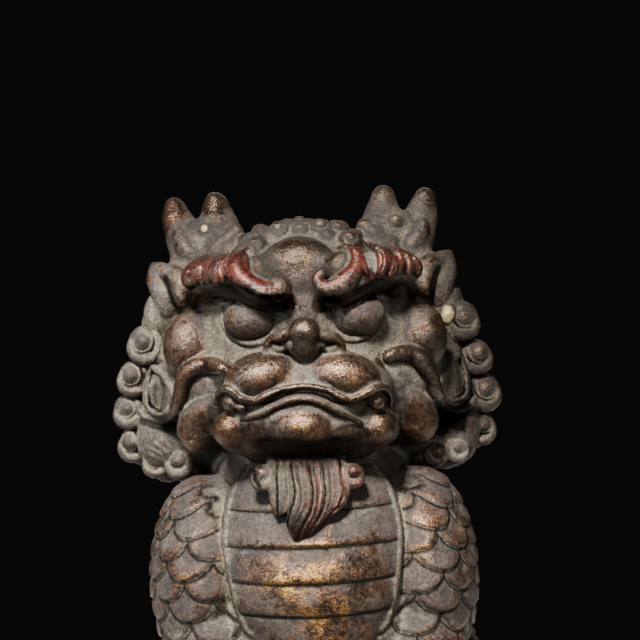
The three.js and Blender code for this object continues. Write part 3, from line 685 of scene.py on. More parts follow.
# Curls of the mane: x, y, z and size, for each side
SIDE_CURLS_LEFT = [
    (-50.6, -1, 137.3, 6.9), (-54.8, 0, 126.7, 6.3), (-56.9, 1.5, 116.4, 6.2),
    (-55.6, 1.5, 105.7, 6.1), (-48.4, -4, 100, 5.4), (-40.8, -8, 99.6, 5.6),
]
SIDE_CURLS_RIGHT = [
    (50.2, -1, 140.8, 6.8), (54.2, 0, 129.2, 6.1), (56.2, 1.5, 117.8, 6.7),
    (54.6, 1.5, 106.6, 6), (46.4, -8.4, 100.2, 4.9), (39.6, -10, 99.4, 4.6),
]
CROWN_CURLS = [
    (-6.8, -20.4, 171.6, 3.4), (-12, -18.4, 170.4, 3.4), (6.4, -20.4, 171.6, 3.7), (-13.8, -26.4, 166.8, 3.4),
    (15.4, -25.4, 167.4, 3.6), (11.4, -18.6, 171, 3.2), (0, -21.4, 171.2, 2.8),
    (-13, -6, 169, 6.5), (13, -6, 169, 6.5), (0, -8, 171, 6.6), (-10, 10, 166.5, 8), (10, 10, 166.5, 8),
]
# How the side curls differ: the turn, the boss's shift and its radius
CURL_KINDS = [(0, 0.02, 0.46), (-30, -0.06, 0.4), (25, 0.08, 0.5), (-10, -0.02, 0.42)]
BACK_ROWS = [(155, 3, 44), (139, 4, 60), (123, 5, 68), (106, 4, 56)]


def mane_forms():
    """Snail curls down each side and over the crown, and in rows round the back of the head, on a
    ball with radii 54, 32 and 36 about (0, 6, 124); a tuft, a knob and a fill behind each ear."""
    forms = [
        lock([(-47.6, 0, 140), (-48.4, -1, 145), (-47.4, -1, 150)], [4, 3, 0.8]),
        egg((45.6, -3.4, 142.8), (2.6, 3.4, 4), (0, 14, 0)),
        egg((-44, 3, 146), (7, 8, 9)),
        egg((44, 3, 146), (7, 8, 9)),
    ]
    for side, curls in ((-1, SIDE_CURLS_LEFT), (1, SIDE_CURLS_RIGHT)):
        for i, (x, y, z, size) in enumerate(curls):
            turn, shift, boss = CURL_KINDS[(i + side) % 4]
            forms += curl((x, y, z), size, (side * 0.3, -1, 0.05), side, 120 + turn, 300, (shift, 0.16, boss))
            forms.append(ball((x * 0.93, y + 6, z - 1), size * 1.1))
    for i, (x, y, z, size) in enumerate(CROWN_CURLS):
        out = (0.03 * x, -1, 0.45) if y < -15 else np.array((x, y, z)) - (0, -6, 134)
        forms += curl((x, y, z), size, out, hand=1 if i % 2 else -1)
    for z, count, spread in BACK_ROWS:
        rise = (z - 124) / 36
        level = np.sqrt(1 - rise**2)
        for angle in np.radians(90 + np.linspace(-spread, spread, count)):
            x, y = np.cos(angle), np.sin(angle)
            at = (54 * level * x, 6 + 32 * level * y, z)
            forms += curl(at, 12, (x, y, 0.7 * rise), hand=1 if x < 0 else -1)
    return forms


# The beard's strands: x and z from the jaw to the tip, each with its depth and radius
BEARD_STRANDS = [
    ([(-10.8, 103), (-11.4, 96.2), (-11.2, 91), (-10.9, 86.7), (-10.3, 83.2)], 1.5),
    ([(-8.4, 103), (-8.6, 96), (-8.6, 91), (-9.4, 86.6), (-10.3, 83.2)], 1.5),
    ([(-6.6, 103), (-6, 96), (-5.6, 91), (-6.6, 87), (-9.4, 84)], 1.3),
    ([(-5.2, 104), (-4.8, 97), (-3.6, 91.4), (-4, 87), (-6.7, 82), (-5.4, 75.8)], 1.3),
    ([(-3.8, 104), (-3, 96), (-1.9, 91), (-2.3, 86.4), (-5.4, 81.6), (-5.4, 75.8)], 1.5),
    ([(-1.8, 104), (-0.9, 96), (0.1, 90.6), (-0.6, 85.6), (-3.4, 80.8), (-5.3, 75.8)], 1.5),
    ([(0.4, 104), (1.2, 95.6), (1.7, 90), (0.8, 85), (-1.8, 80.4), (-5.1, 75.8)], 1.4),
    ([(2.4, 104), (3.2, 95.4), (3.6, 89.6), (2.4, 84.6), (-0.4, 80), (-4.7, 75.9)], 1.3),
    ([(4.6, 103), (5.2, 95), (5.4, 89.6), (4.6, 85.4), (1.6, 80.8), (-1.6, 77.4)], 1.0),
    ([(6, 103), (6.8, 95), (7, 89.6), (6, 85.8), (4.2, 82.6)], 1.4),
    ([(8, 102), (9, 95), (9.4, 89.8), (7.8, 86), (4.4, 82.8)], 1.5),
    ([(9.8, 101), (10.6, 94), (10.8, 89.6), (8.8, 86), (4.8, 82.8)], 1.1),
]
BEARD_FRONT = [(74, -49), (80, -49.4), (87, -48.8), (95, -46.6), (104, -41)]


def beard_forms():
    """A core and two curls, and a lock for each strand with a wider one behind it. A strand's depth
    follows the beard's front at its height and bows back by 1.6 (x / 12)^2."""
    forms = [
        egg((0, -40, 92), (13, 8, 12)),
        *curl((-14.2, -44.6, 95.6), 4.6, (-0.2, -1, 0.15), hand=-1, boss=(0.05, 0.3, 0.42)),
        *curl((13.1, -44.6, 95.2), 4.4, (0.2, -1, 0.15), boss=(0.05, 0.2, 0.5)),
    ]
    for i, (line, radius) in enumerate(BEARD_STRANDS):
        x, z = np.array(line, float).T
        y = np.interp(z, *np.array(BEARD_FRONT).T) + 1.6 * (x / 12) ** 2 + 0.25 * (i % 2)
        radii = radius * np.array([1, 1.15, 1.1, 0.9, 0.3])
        forms.append(lock(np.column_stack([x, y, z]), radii, flat=1.2))
        forms.append(lock(np.column_stack([x, y + 2.4, z]), radii * 1.2, flat=1.4, across=14))
    return forms


BEARD_GROOVES = between([line for line, _ in BEARD_STRANDS])
CLAW_GROOVES = between(LEFT_CLAWS[1:]) + between(RIGHT_CLAWS[1:])


# How deep the beard's grooves are, in turn
BEARD_DEPTHS = (1.3, 0.6, 1.4, 0.7, 0.5)
# Lines cut into the head: x and z from the front, then widths and depths
CHASED = [
    ([(-8.6, 135.4), (-7.2, 134.9)], [1.6, 1.7], [1.0, 1.4]),
    ([(8.8, 134.6), (7.4, 134.1)], [1.6, 1.7], [1.0, 1.4]),
    (
        [(-10.2, 153.4), (-8.8, 155.6), (-6.4, 155.6), (-5, 153.6), (-6.2, 151.8), (-7.6, 152.6)],
        [0.5, 0.8, 0.8, 0.7, 0.6, 0.5], [0.2, 0.7, 0.7, 0.6, 0.5, 0.4],
    ),
    *[
        ([(46.8 * x, 127), (46.2 * x, 122), (46 * x, 117.8)], [2.2, 3.6, 3.2], [0.8, 1.7, 1.3])
        for x in (-1, 1)
    ],
    *[
        (
            [
                (-53 + 1.9 * k, 104 + 1.7 * k), (-49 + 1.7 * k, 102.4 + 1.2 * k),
                (-45.5 + 1.2 * k, 98.6 + 1.1 * k),
            ],
            [0.7, 0.9, 0.7], [0.1, 0.35, 0.2],
        )
        for k in range(6)
    ],
    ([(-16.8, 97.8), (-16.6, 95.4), (-15.4, 93)], [0.7, 1.1, 0.7], [0.6, 1.6, 0.8]),
    ([(-43.6, 158.6), (-42.2, 154.6), (-40.8, 150.4)], [0.8, 1.9, 1.6], [0.6, 2.6, 1.8]),
    ([(43.6, 158.2), (42.2, 154.2), (40.8, 150)], [0.8, 1.9, 1.6], [0.6, 2.6, 1.8]),
    ([(-18, 149.2), (-16.7, 148), (-15.2, 148.6)], [0.6, 0.9, 0.6], [0.3, 0.7, 0.3]),
    ([(15.6, 147.6), (17, 147), (18.6, 148.2)], [0.6, 0.9, 0.6], [0.3, 0.7, 0.3]),
]


def chase_head(points, normals):
    """Cuts the lines between strands and between the brows' locks, the mouth and the other lines."""
    front = points[normals[:, 1] < 0.3]
    cut = np.array([0.5, 1, 1.1, 0.9, 0.2])
    lines = [
        (groove, [0.7, 0.8, 0.8, 0.7, 0.5], BEARD_DEPTHS[i % 5] * cut)
        for i, groove in enumerate(BEARD_GROOVES)
    ]
    lines += [(groove, [0.6, 0.75, 0.75, 0.6], [0.2, 0.9, 1.0, 0.4]) for groove in CLAW_GROOVES]
    lines.append((MOUTH_LINE, [0.4, 0.7, 0.8, 0.7, 0.4], [0.1, 0.8, 1.0, 0.8, 0.1]))
    for line, widths, depths in lines + CHASED:
        carve(points, normals, laid(front, line), widths, depths)


def chased(points, faces, chase=lambda points, normals: None):
    """A cast skin, softened, made a little uneven, chased and softened again."""
    pairs = pairs_of(faces)
    points = relax(points, pairs, SOFT_BEFORE)
    normals = normals_of(points, faces)
    points = points + normals * (0.10 * waves(points, 9, 3) + 0.05 * waves(points, 3.2, 4))[:, None]
    chase(points, normals)
    return relax(points, pairs, SOFT_AFTER)


# Finish: what each point of the skin has gathered or lost


def smoothed(values, pairs, times):
    """Values that go half way to the mean of their neighbours', so many times."""
    for _ in range(times):
        values = 0.5 * values + 0.5 * mean_around(values, pairs)
    return values


def hollow_at(points, normals, pairs, times):
    """How far the skin's local mean stands out from each point along its normal, in millimetres: it
    is positive in a hollow and negative on a high place."""
    return ((smoothed(points, pairs, times) - points) * normals).sum(axis=1)


def blots(points, places, gain=1.0):
    """The most of several blots, each a centre, three radii and a strength: strength x bump(gain (1 -
    distance in radii))."""
    return np.max(
        [
            much * bump(gain * (1 - np.linalg.norm((points - centre) / radii, axis=1)))
            for centre, radii, much in places
        ],
        axis=0,
    )


def blot(points, centre, radii):
    """1 at a centre, falling smoothly to 0 at three radii from it."""
    return blots(points, [(centre, radii, 1)])


def at_least(values, much, pick=slice(None)):
    """Lifts values, all or the picked ones, to at least so much."""
    values[pick] = np.maximum(values[pick], much)


def drawn(points, line, width):
    """What near_line gives for a line drawn from the front, as x and z."""
    return near_line(points * (1, 0, 1), [(x, 0, z) for x, z in line], width)


def band(values, points, line, width, edge, much=1.0, before=99):
    """Lifts values along a line drawn from the front, on what has a y below the given one: much x
    bump((width - distance) / edge)."""
    pick, gap, _ = drawn(points, line, width)
    at_least(values, much * bump((width - gap) / edge) * (points[pick, 1] < before), pick)


def give(mesh, name, values):
    """Keeps a number from 0 to 1 for each point, which the finish reads."""
    values = np.clip(values, 0, 1).astype(np.float32)
    mesh.attributes.new(name, "FLOAT", "POINT").data.foreach_set("value", values)


def piece(name, points, faces, paint):
    """The finished piece: its skin in triangles, in metres and in place, with its finish."""
    ratio = min(1, PIECE_TRIANGLES / (2 * len(faces)))
    points, faces = through_modifier(
        points + (0, 0, BASE_TOP), faces, "DECIMATE", 3, ratio=ratio, use_collapse_triangulate=True
    )
    normals, pairs = normals_of(points, faces), pairs_of(faces)
    mesh = mesh_of(name, points * MM, faces)
    mesh.polygons.foreach_set("use_smooth", np.ones(len(faces), bool))
    fine, wide = (hollow_at(points, normals, pairs, passes) for passes in (FINE_PASSES, WIDE_PASSES))
    give(mesh, "fine_hollow", smoothed(0.5 + fine / FINE_DEPTH, pairs, 1))
    give(mesh, "wide_hollow", 0.5 + wide / WIDE_DEPTH)
    give(mesh, "up", 0.5 + 0.5 * normals[:, 2])
    for layer, values in paint(points - (0, 0, BASE_TOP), normals, fine, wide).items():
        give(mesh, layer, values)
    mesh.materials.append(bronze)
    made = bpy.data.objects.new(name, mesh)
    bpy.context.scene.collection.objects.link(made)
    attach(made, "root")
    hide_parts("qilin_figure")


# Lines under the brows: their downward faces are painted black as shade, and polish follows them
BAND_LEFT = [(-35, 152.6), (-29, 151), (-23, 152), (-17, 151), (-11, 148), (-5, 148)]
BAND_RIGHT = [(36, 152.4), (30, 150.8), (24, 151.6), (18, 149.8), (12, 147), (6, 147)]


# Blots of paint, wear, darker tone and painted shade on the head: centre, radii, strength
RED_BLOTS = [
    ((-14, -40, 158.5), (5, 8, 4.5), 1), ((-8.6, -43, 160.5), (2.4, 6, 2.4), 0.7),
    ((8, -47, 92), (9, 12, 14), 0.5), ((13.4, -48, 95), (6, 8, 6), 1), ((-14.6, -48, 95), (6, 8, 6), 0.12),
    ((-5, -51, 78), (4, 8, 6), 0.8), ((-36.6, -27, 133), (8, 12, 10), 0.28),
    ((-7, -46, 161.6), (5, 8, 3.4), 0.4),
]
GILT_BLOTS = [
    ((-1.6, -54, 108.6), (13, 10, 8), 0.9), ((-24.8, -44, 110.6), (6, 9, 6), 0.9),
    ((21.9, -44, 109.7), (6, 9, 6), 1), ((-11, -52, 127), (11, 9, 8), 0.75),
    ((12.6, -52, 125), (12, 9, 9), 0.9), ((0, -55, 137), (7, 8, 10), 0.5), ((1, -43, 161), (9, 8, 7), 0.9),
    ((-31.4, -30, 132.4), (8, 12, 7), 0.7), ((37, -28, 138), (9, 12, 9), 0.35),
    ((-34.9, -28, 109.5), (6, 14, 7.5), 0.45), ((33.8, -28, 110), (6, 14, 7.5), 0.6),
]
POLISH_BLOTS = [
    ((-13.6, -50, 127), (15, 14, 10.5), 1), ((11.8, -50, 126), (15, 14, 10.5), 1),
    ((-1.6, -53, 110), (18, 14, 12), 1), ((-16, -46, 109), (18, 16, 11), 1),
    ((14, -46, 108), (18, 16, 11), 1), ((0, -54, 138), (8, 8, 11), 1), ((-24, -42, 110), (9, 13, 9), 1),
    ((21, -42, 109), (9, 13, 9), 1), ((-1, -44, 104), (26, 18, 9), 1), ((-12, -52, 137), (6, 8, 5), 1),
    ((12, -52, 136), (6, 8, 5), 1), ((-33.5, -27, 132), (14, 16, 14), 1),
    ((37.5, -26, 133.5), (11, 16, 11), 1), ((-34.9, -28, 109.5), (7, 14, 9), 1),
    ((33.8, -28, 110), (7, 14, 9), 1),
]
# Mostly painted shade: in the leaves' hollows, under the left whisker and the chin, over the beard's top and
# under its left curl, and over the strips between the brows' ends and the ears; the rest darkens the cheek
# balls, the mouth corners' balls, a spot atop the left brow and the beard's tip
SHADE_AND_TONE_BLOTS = [
    ((-45.8, -15, 121.4), (4.2, 9, 7), 0.5), ((45.8, -15, 121.4), (4.2, 9, 7), 0.6),
    ((-43, -12, 111.4), (5, 12, 3.4), 0.9), ((-34, -13, 150.5), (5, 13, 7.5), 1),
    ((34, -13, 150.5), (5, 13, 7.5), 1), ((-16.4, -38, 164.8), (3.4, 8, 3), 0.9),
    ((38, -26, 135), (15, 16, 15), 0.6), ((-39, -20, 134), (9, 14, 14), 0.6),
    ((-34, -26, 137), (13, 14, 12), 0.3), ((-25.5, -43, 110), (8, 12, 8), 0.36),
    ((23, -43, 109), (8, 12, 8), 0.4), ((-8, -50, 105.4), (22, 14, 5.5), 1),
    ((8, -50, 104.4), (22, 14, 5.5), 1), ((-14, -46, 91), (4.4, 8, 2.6), 0.45),
    ((-4, -50, 80), (6, 8, 7), 0.7), ((-1, -45, 102), (22, 12, 7), 0.85),
]
CHIPS = [
    ((45.4, -8, 143), (5.4, 9, 6.6), 0.72), ((-30.4, -3.6, 173.6), (2.3, 4.6, 2.99), 1),
    ((-36.5, -27, 106.4), (1.1, 2.2, 1.43), 1), ((-19.8, -48, 117.3), (1.9, 3.8, 2.47), 1),
]
# Antler tips that are polished: place and strength
ANTLER_TIPS = [(-27, 4, 182, 1), (-41, 8, 180, 1), (27, 4, 183, 0.4), (41, 8, 181, 0.4)]
# Folds painted dark as shade: x and z from the front, and width
SHADED_FOLDS = [
    ([(-43.2, 158), (-41.8, 154), (-40.2, 149.4)], 1.6), ([(43.2, 157.6), (41.8, 153.6), (40.2, 149)], 1.6),
    ([(-16.8, 97.8), (-16.6, 95.4), (-15.4, 93)], 1.1),
]
EYE_DUST = [
    ((-16.6, -42, 143.4), (12, 12, 11), 0.7), ((16, -42, 143.4), (12, 12, 11), 0.7),
]
BELLY_RED = [
    ((8.8, -50, 84), (4, 5, 2), 0.8), ((6.5, -50, 79.6), (4, 6, 2), 0.8),
    ((-15, -47, 87.4), (4, 6, 4), 0.8),
]
# The dark and the red in the beard's grooves, in turn
BEARD_DARK = (1, 0.55, 1, 0.7, 0.4)
BEARD_RED = (0.1, 0.15, 0.2, 0.25, 0.5, 0.65, 0.75, 0.5, 0.4, 0.65, 0.8)


def painted_head(points, normals, fine, wide):
    """Red on the brows' locks, lobes and the beard's right side; gilding left on the nose, chin, jaw
    and forehead; polish on the round masses; pale chips; painted shade in the lines and folds,
    under the brows, the chin and the whiskers and in the mane, darker towards the top; dark on the
    forehead and towards the right; dust on the mane, the eyes and the rims."""
    x, y, z = points.T
    up, front = normals[:, 2], bump((0.35 - normals[:, 1]) / 0.5)
    red, claw_red, under = blots(points, RED_BLOTS), np.zeros(len(points)), np.zeros(len(points))
    for claw in LEFT_CLAWS + RIGHT_CLAWS:
        band(claw_red, points, claw, 1.9, 0.5, 0.85, -14)
    at_least(red, claw_red * (1 - 0.6 * bump((z - 160.5) / 4)) * (1 - 0.3 * bump((np.abs(x) - 24) / 10)))
    for side, _, lobe, radii in SIDES:
        pick, gap, share = near_line(points, on_side(side, BROW), 9)
        roll = bump((along(share, BROW_RADII) + 1.2 - gap) / 0.8) * bump((share - 0.4) / 0.1)
        roll = roll * bump((up[pick] + 0.15) / 0.3) * bump((0.2 - normals[pick, 1]) / 0.3)
        at_least(red, 0.6 * roll * bump((z[pick] - 151) / 2) * bump((165 - z[pick]) / 2), pick)
        pick, gap, share = near_line(points, lobe, 5)
        run = bump((along(share, radii) + 0.9 - gap) / 0.8) * bump((up[pick] + 0.2) / 0.5)
        at_least(red, 0.9 * run * (bump((share - 0.06) / 0.1) if side > 0 else 1), pick)

    gilt, polish = blots(points, GILT_BLOTS), blots(points, POLISH_BLOTS, 1.1)
    for line in (WHISKER_LEFT, WHISKER_RIGHT, BAND_LEFT, BAND_RIGHT):
        band(polish, points, line, 3.6, 1.8, before=-14)
    band(polish, points, UPPER_LIP, 1.5, 0.75, before=-14)
    at_least(polish, 0.5 * bump(2 * blot(points, (0, -42, 161.5), (16, 14, 10))))
    for *tip, much in ANTLER_TIPS:
        at_least(polish, 0.9 * much * blot(points, tip, (9, 12, 14)))
        at_least(gilt, 0.3 * much * blot(points + (0, 0, 4), tip, (8, 12, 12)))

    # Dark on the forehead; painted shade where the light falls off, towards the top and over the middle of
    # the face; then the blots
    dark = 0.62 * bump(1.6 * blot(points, (0, -40, 160), (26, 22, 20)))
    at_least(dark, 0.42 * bump((z - 160) / 5))
    at_least(dark, 0.3 * bump(2 * blot(points, (0, -42, 142), (30, 24, 15))))
    at_least(dark, blots(points, SHADE_AND_TONE_BLOTS, 1.6))
    # Painted shade in the mouth's slit, in the folds and in the grooves between the beard's strands and
    # between the claws; red paint also runs along the beard's grooves
    pick, gap, share = drawn(points, MOUTH_LINE, 0.75)
    at_least(dark, bump((0.75 - gap) / 0.4) * bump(5 * np.minimum(share, 1 - share)) * (y[pick] < -30), pick)
    for line, width in SHADED_FOLDS:
        band(dark, points, line, width, width / 1.5, 0.9)
    for i, groove in enumerate(BEARD_GROOVES):
        pick, gap, share = drawn(points, groove, 0.6)
        strong = BEARD_DARK[i % 5] * np.sqrt(bump(3 * share + 0.4)) * (y[pick] < -38)
        at_least(dark, strong * bump((0.6 - gap) / 0.4), pick)
        band(red, points, groove, 1.2, 0.7, BEARD_RED[i], -38)
    for groove in CLAW_GROOVES:
        band(dark, points, groove, 0.5, 0.35, 0.5, -18)
    # Painted shade: black on the downward faces under the brows
    for line in (BAND_LEFT, BAND_RIGHT):
        band(under, points, line, 4, 1.2, before=-18)
    at_least(dark, under * bump((0.1 - up) / 0.4))
    # The mane: the sides of the head below the ears; painted shade in its deep hollows
    mane = bump((np.abs(x) - 40) / 8) * bump((160 - z) / 6)
    at_least(dark, mane * bump((wide - 0.15) / 0.5))
    # Darker towards the right, on faces that look forwards
    at_least(dark, 0.5 * bump((x - 28) / 14) * front * bump((z - 101) / 8))

    # Paler on the mane, more on the left than on the right
    pale = mane * (y > -16) * np.where(x < 0, 0.8, 0.35)
    at_least(pale, 0.7 * blot(points, (-2, -46, 92), (26, 14, 22)) * bump((0.4 - fine) / 0.4))
    at_least(pale, blots(points, EYE_DUST))
    shade = 1 - np.linalg.norm((points - (46, -10, 107)) / (13, 18, 11), axis=1)
    for *centre, size in SIDE_CURLS_LEFT + SIDE_CURLS_RIGHT:
        away = np.linalg.norm((points - centre) * (1, 0.5, 1), axis=1) / size
        shade = np.minimum(shade, away - 1.1)
        below = bump((centre[2] - 0.25 * size - z) / (0.4 * size)) * (1 if centre[0] < 0 else 0.7)
        at_least(pale, below * bump((away - 0.5) / 0.2) * bump((1.25 - away) / 0.2) * front)
    at_least(dark, bump(5 * shade))
    for side in (-1, 1):
        band(pale, points, [(side * a, c) for a, c in LEAF_RIM], 1.5, 1, 0.8, -6)
        band(pale, points, [(side * a - 0.3, c) for a, c in EYE_RIM], 2.4, 2, 0.9, -20)
    return {
        "red": red * front, "gilt": gilt, "polish": polish, "chip": 1.6 * blots(points, CHIPS), "dark": dark,
        "pale": pale * (1 - dark),
    }


def painted_body(points, normals, fine, wide):
    """Gold flecks in the middle of the belly's plates and on the rims of the scales, red spots under
    the beard, and painted shade in dark lines under each plate's lip and each scale's edge."""
    x, y, z = points.T
    angle = np.arctan2(y - TRUNK_AXIS, x)
    off = np.abs(np.hypot(x, y - TRUNK_AXIS) - reach_of(TRUNK, TRUNK_AXIS, angle, z))
    _, groove, rim = scale_relief(angle / (2 * np.pi) % 1, z)
    half = np.interp(z, *BELLY_HALF.T)
    belly = bump((half - np.abs(x)) / 3) * bump((-y - 20) / 15) * bump((102 - z) / 4) * bump((z - 2) / 4)
    trunk = bump(1 - off / 4) * (normals[:, 2] < 0.9) * (1 - belly)
    v, share = plate_at(x / half, z)
    patch = 0.5 + 0.5 * waves(points, 13, 8)
    gilt = belly * bump(1.5 - np.abs(x) / 17) * bump((77.5 - z) / 3) * bump((z - 8) / 24)
    gilt = gilt * (0.15 + 0.3 * bump(1 - share) + 0.6 * bump(1.3 * patch))
    at_least(gilt, trunk * rim * bump(1.4 * patch - 0.2) * bump((94 - z) / 8))
    at_least(gilt, 0.5 * trunk * bump(2 * patch - 1) * bump((90 - z) / 8))
    polish = 0.7 * belly * bump(1.5 - np.abs(x) / 20) * bump(0.3 + 0.8 * patch) * (z < 88)
    polish = 0.08 + polish * (0.3 + 0.7 * bump((78 - z) / 3))
    # Painted shade along each plate's lower lip, on the lip and on the plate below it
    under = np.maximum(bump(1 - v / 0.5), bump(12 * share - 11))
    return {
        "red": blots(points, BELLY_RED),
        "gilt": gilt,
        "polish": polish + trunk * bump(patch) * (0.32 + 0.4 * rim) * bump((92 - z) / 8),
        "chip": 1.6 * blot(points, (34.5, -36, 84), (1.6, 4, 2.4)),
        # Painted shade under the scales' edges and the plates' lips
        "dark": np.maximum(0.9 * trunk * groove, belly * under),
        "pale": 0.6 * trunk * rim + 0.2 * belly * bump((np.abs(x) / half - 0.86) / 0.08),
    }


# Materials


class Tone:
    """One socket of a finish's nodes, which takes part in Python expressions."""

    def __init__(self, finish, socket):
        self.finish, self.socket = finish, socket

    def maths(self, operation, a, b):
        """A sum, product, difference or maximum of two values."""
        return self.finish.node("ShaderNodeMath", {"operation": operation}, {0: a, 1: b})

    __add__ = __radd__ = lambda self, other: self.maths("ADD", self, other)
    __mul__ = __rmul__ = lambda self, other: self.maths("MULTIPLY", self, other)
    __sub__ = lambda self, other: self.maths("SUBTRACT", self, other)
    __rsub__ = lambda self, other: self.maths("SUBTRACT", other, self)
    most = lambda self, other: self.maths("MAXIMUM", self, other)


class Finish:
    """A material, and the nodes that make it."""

    def __init__(self, name):
        self.material = bpy.data.materials.new(name)
        self.material.use_nodes = True
        self.tree = self.material.node_tree
        self.tree.nodes.clear()

    def node(self, kind, settings=None, sockets=None, out=0):
        """Adds a node of a type: its settings first, then the values or links of its sockets."""
        node = self.tree.nodes.new(kind)
        for key, value in (settings or {}).items():
            setattr(node, key, value)
        for key, value in (sockets or {}).items():
            if isinstance(value, Tone):
                self.tree.links.new(value.socket, node.inputs[key])
            else:
                node.inputs[key].default_value = value
        return Tone(self, node.outputs[out]) if node.outputs else node

    def finished(self, sockets):
        """The material, once its surface has its sockets."""
        surface = self.node("ShaderNodeBsdfPrincipled", {}, sockets)
        self.node("ShaderNodeOutputMaterial", {}, {"Surface": surface})
        return self.material

    def step(self, tone, low, high):
        """0 where the tone is at low, 1 where it is at high, smoothly between."""
        settings = {"interpolation_type": "SMOOTHSTEP"}
        return self.node("ShaderNodeMapRange", settings, {0: tone, 1: low, 2: high})

    def mix(self, share, a, b):
        """The colour a where the share is 0 and b where it is 1, evenly between."""
        colour = lambda c: c if isinstance(c, Tone) else (*c, 1)
        return self.node("ShaderNodeMix", {"data_type": "RGBA"}, {0: share, 6: colour(a), 7: colour(b)}, 2)

    def layer(self, name):
        """The number that each point of the skin keeps under a name."""
        return self.node("ShaderNodeAttribute", {"attribute_name": name}, out=2)

    def noise(self, place, millimetres, detail=3, roughness=0.6):
        """A cloudy pattern whose grain is about so many millimetres wide."""
        sockets = {"Vector": place, "Scale": 1000 / millimetres, "Detail": detail, "Roughness": roughness}
        return self.node("ShaderNodeTexNoise", {}, sockets)


LAYERS = ("fine_hollow", "wide_hollow", "up", "red", "gilt", "polish", "chip", "dark", "pale")


def bronze_finish():
    """Dark brown lacquer, worn to a warmer brown and to flecks of gold where the skin stands out, grey
    dust where it lies in, red paint where the layers say, pale chips, and painted shade: black on
    the faces that turn down and where the dark layer says."""
    f = Finish("patinated_bronze")
    place = f.node("ShaderNodeTexCoord", out=3)
    fine, wide, up, red, gilt, polish, chip, dark, pale = (f.layer(name) for name in LAYERS)
    speck, grain, mottle = f.noise(place, 0.45, 2), f.noise(place, 1.1, 4, 0.7), f.noise(place, 2.8, 4, 0.65)
    patch, cloud, pits = f.noise(place, 7), f.noise(place, 16), f.noise(place, 0.35, 2)

    gathered = fine * 1.3 + wide * 0.8 + mottle * 0.8 + up * 0.25 + patch * 0.4 + pale * 0.5
    dust = f.step(gathered - polish.most(red) * 1.25, 0.7, 1.6)
    high = f.step(1.0 - fine * 0.9 - wide * 0.6 + grain * 0.5, 0.35, 0.95)
    brown = f.mix(f.step(patch, 0.35, 0.65), (0.014, 0.01, 0.009), (0.072, 0.038, 0.026))
    worn = f.mix(f.step(cloud, 0.4, 0.6), (0.26, 0.14, 0.08), (0.23, 0.172, 0.125))
    brown = f.mix(high * f.step(grain + mottle * 0.5, 0.5, 1.0), brown, worn)
    brown = f.mix(gilt * f.step(patch + mottle * 0.4, 0.65, 0.9), brown, (0.3, 0.14, 0.058))
    hollow = f.step(fine + wide * 1.2 + mottle * 0.9 + cloud * 0.5 + pale * 0.6, 1.5, 2.3)
    dusty = f.mix(f.step(cloud, 0.35, 0.65), (0.038, 0.041, 0.041), (0.106, 0.08, 0.066))
    dusty = f.mix(hollow, dusty, (0.265, 0.228, 0.165))
    dusty = f.mix(f.step(grain, 0.6, 0.38) * 0.6, dusty, (0.025, 0.021, 0.018))
    colour = f.mix(dust * 0.92 + (1 - dust) * f.step(grain, 0.5, 0.8) * 0.25, brown, dusty)
    colour = f.mix(f.step(speck, 0.56, 0.4) * 0.55, colour, (0.008, 0.0062, 0.0052))
    fleck = f.step(speck + patch * 0.8 + mottle * 0.5 + gilt * 0.38, 1.5, 1.6) * f.step(gilt, 0.02, 0.2)
    gold = f.mix(f.step(grain, 0.35, 0.65), (0.24, 0.105, 0.028), (0.56, 0.33, 0.11))
    colour = f.mix(fleck, colour, gold)
    paint = red * f.step(grain * 0.6 + mottle * 0.9 - fine * 1.1 + red * 0.35, 0.2, 0.6)
    scarlet = f.mix(f.step(mottle, 0.35, 0.6), (0.022, 0.0065, 0.0055), (0.11, 0.017, 0.0125))
    colour = f.mix(paint * (1 - f.step(grain, 0.5, 0.7) * 0.6), colour, scarlet)
    # Painted shade: the faces that turn down go black, less on worn high places, and so does what the dark
    # layer marks
    painted_underside_shade = f.step(0.62 - up, 0.0, 0.45) * (1 - high * 0.4)
    black = (painted_underside_shade * 0.85).most(dark)
    colour = f.mix(black, colour, (0.008, 0.0062, 0.005))
    bare = f.mix(grain, (0.14, 0.1, 0.05), (0.5, 0.39, 0.19))
    colour = f.mix(f.step(chip + mottle * 0.4 + grain * 0.3, 0.9, 1.1), colour, bare)

    relief = grain * 0.8 + speck * 0.6 + pits * 0.3 + mottle * 0.6 + dust * (grain + 0.5)
    sockets = {
        "Base Color": colour,
        "Roughness": 0.12 + dust * 0.56 + grain * 0.26 + fleck * 0.1,
        # The painted black is made metallic too, so that it keeps no pale sheen
        "Metallic": (fleck * 0.9).most((1 - dust) * (0.75 - red * 0.45)).most(black),
        "Normal": f.node("ShaderNodeBump", {}, {"Strength": 0.6, "Distance": 0.0004, "Height": relief}),
        "IOR": 1.5,
    }
    return f.finished(sockets)


def plain_finish(name, colour, roughness):
    """One colour and one roughness."""
    return Finish(name).finished({"Base Color": (*colour, 1), "Roughness": roughness})


# Making

bronze = bronze_finish()

masses, mass_faces = cast(head_masses(), MASS_GRAIN)
mass_pairs = pairs_of(mass_faces)
masses = relax(masses, mass_pairs, MASS_SOFT, grain=MASS_GRAIN)
for width, places in (
    (3.5, [((0, -36, 151), (24, 24, 24), 1)]),
    (2, [((-1.5, -46, 109), (36, 20, 13), 1)]),
    (2, [((-34, -24, 137), (18, 18, 18), 1), ((34, -24, 137), (18, 18, 18), 1)]),
):
    masses = relax(masses, mass_pairs, width, bump(2 * blots(masses, places)), MASS_GRAIN)
head = [(masses, mass_faces), *muzzle_forms(masses), *cheek_forms(masses), *brow_forms()]
points, faces = cast(head + mane_forms() + beard_forms())
piece("qilin_head", chased(points, faces, chase_head), faces, painted_head)

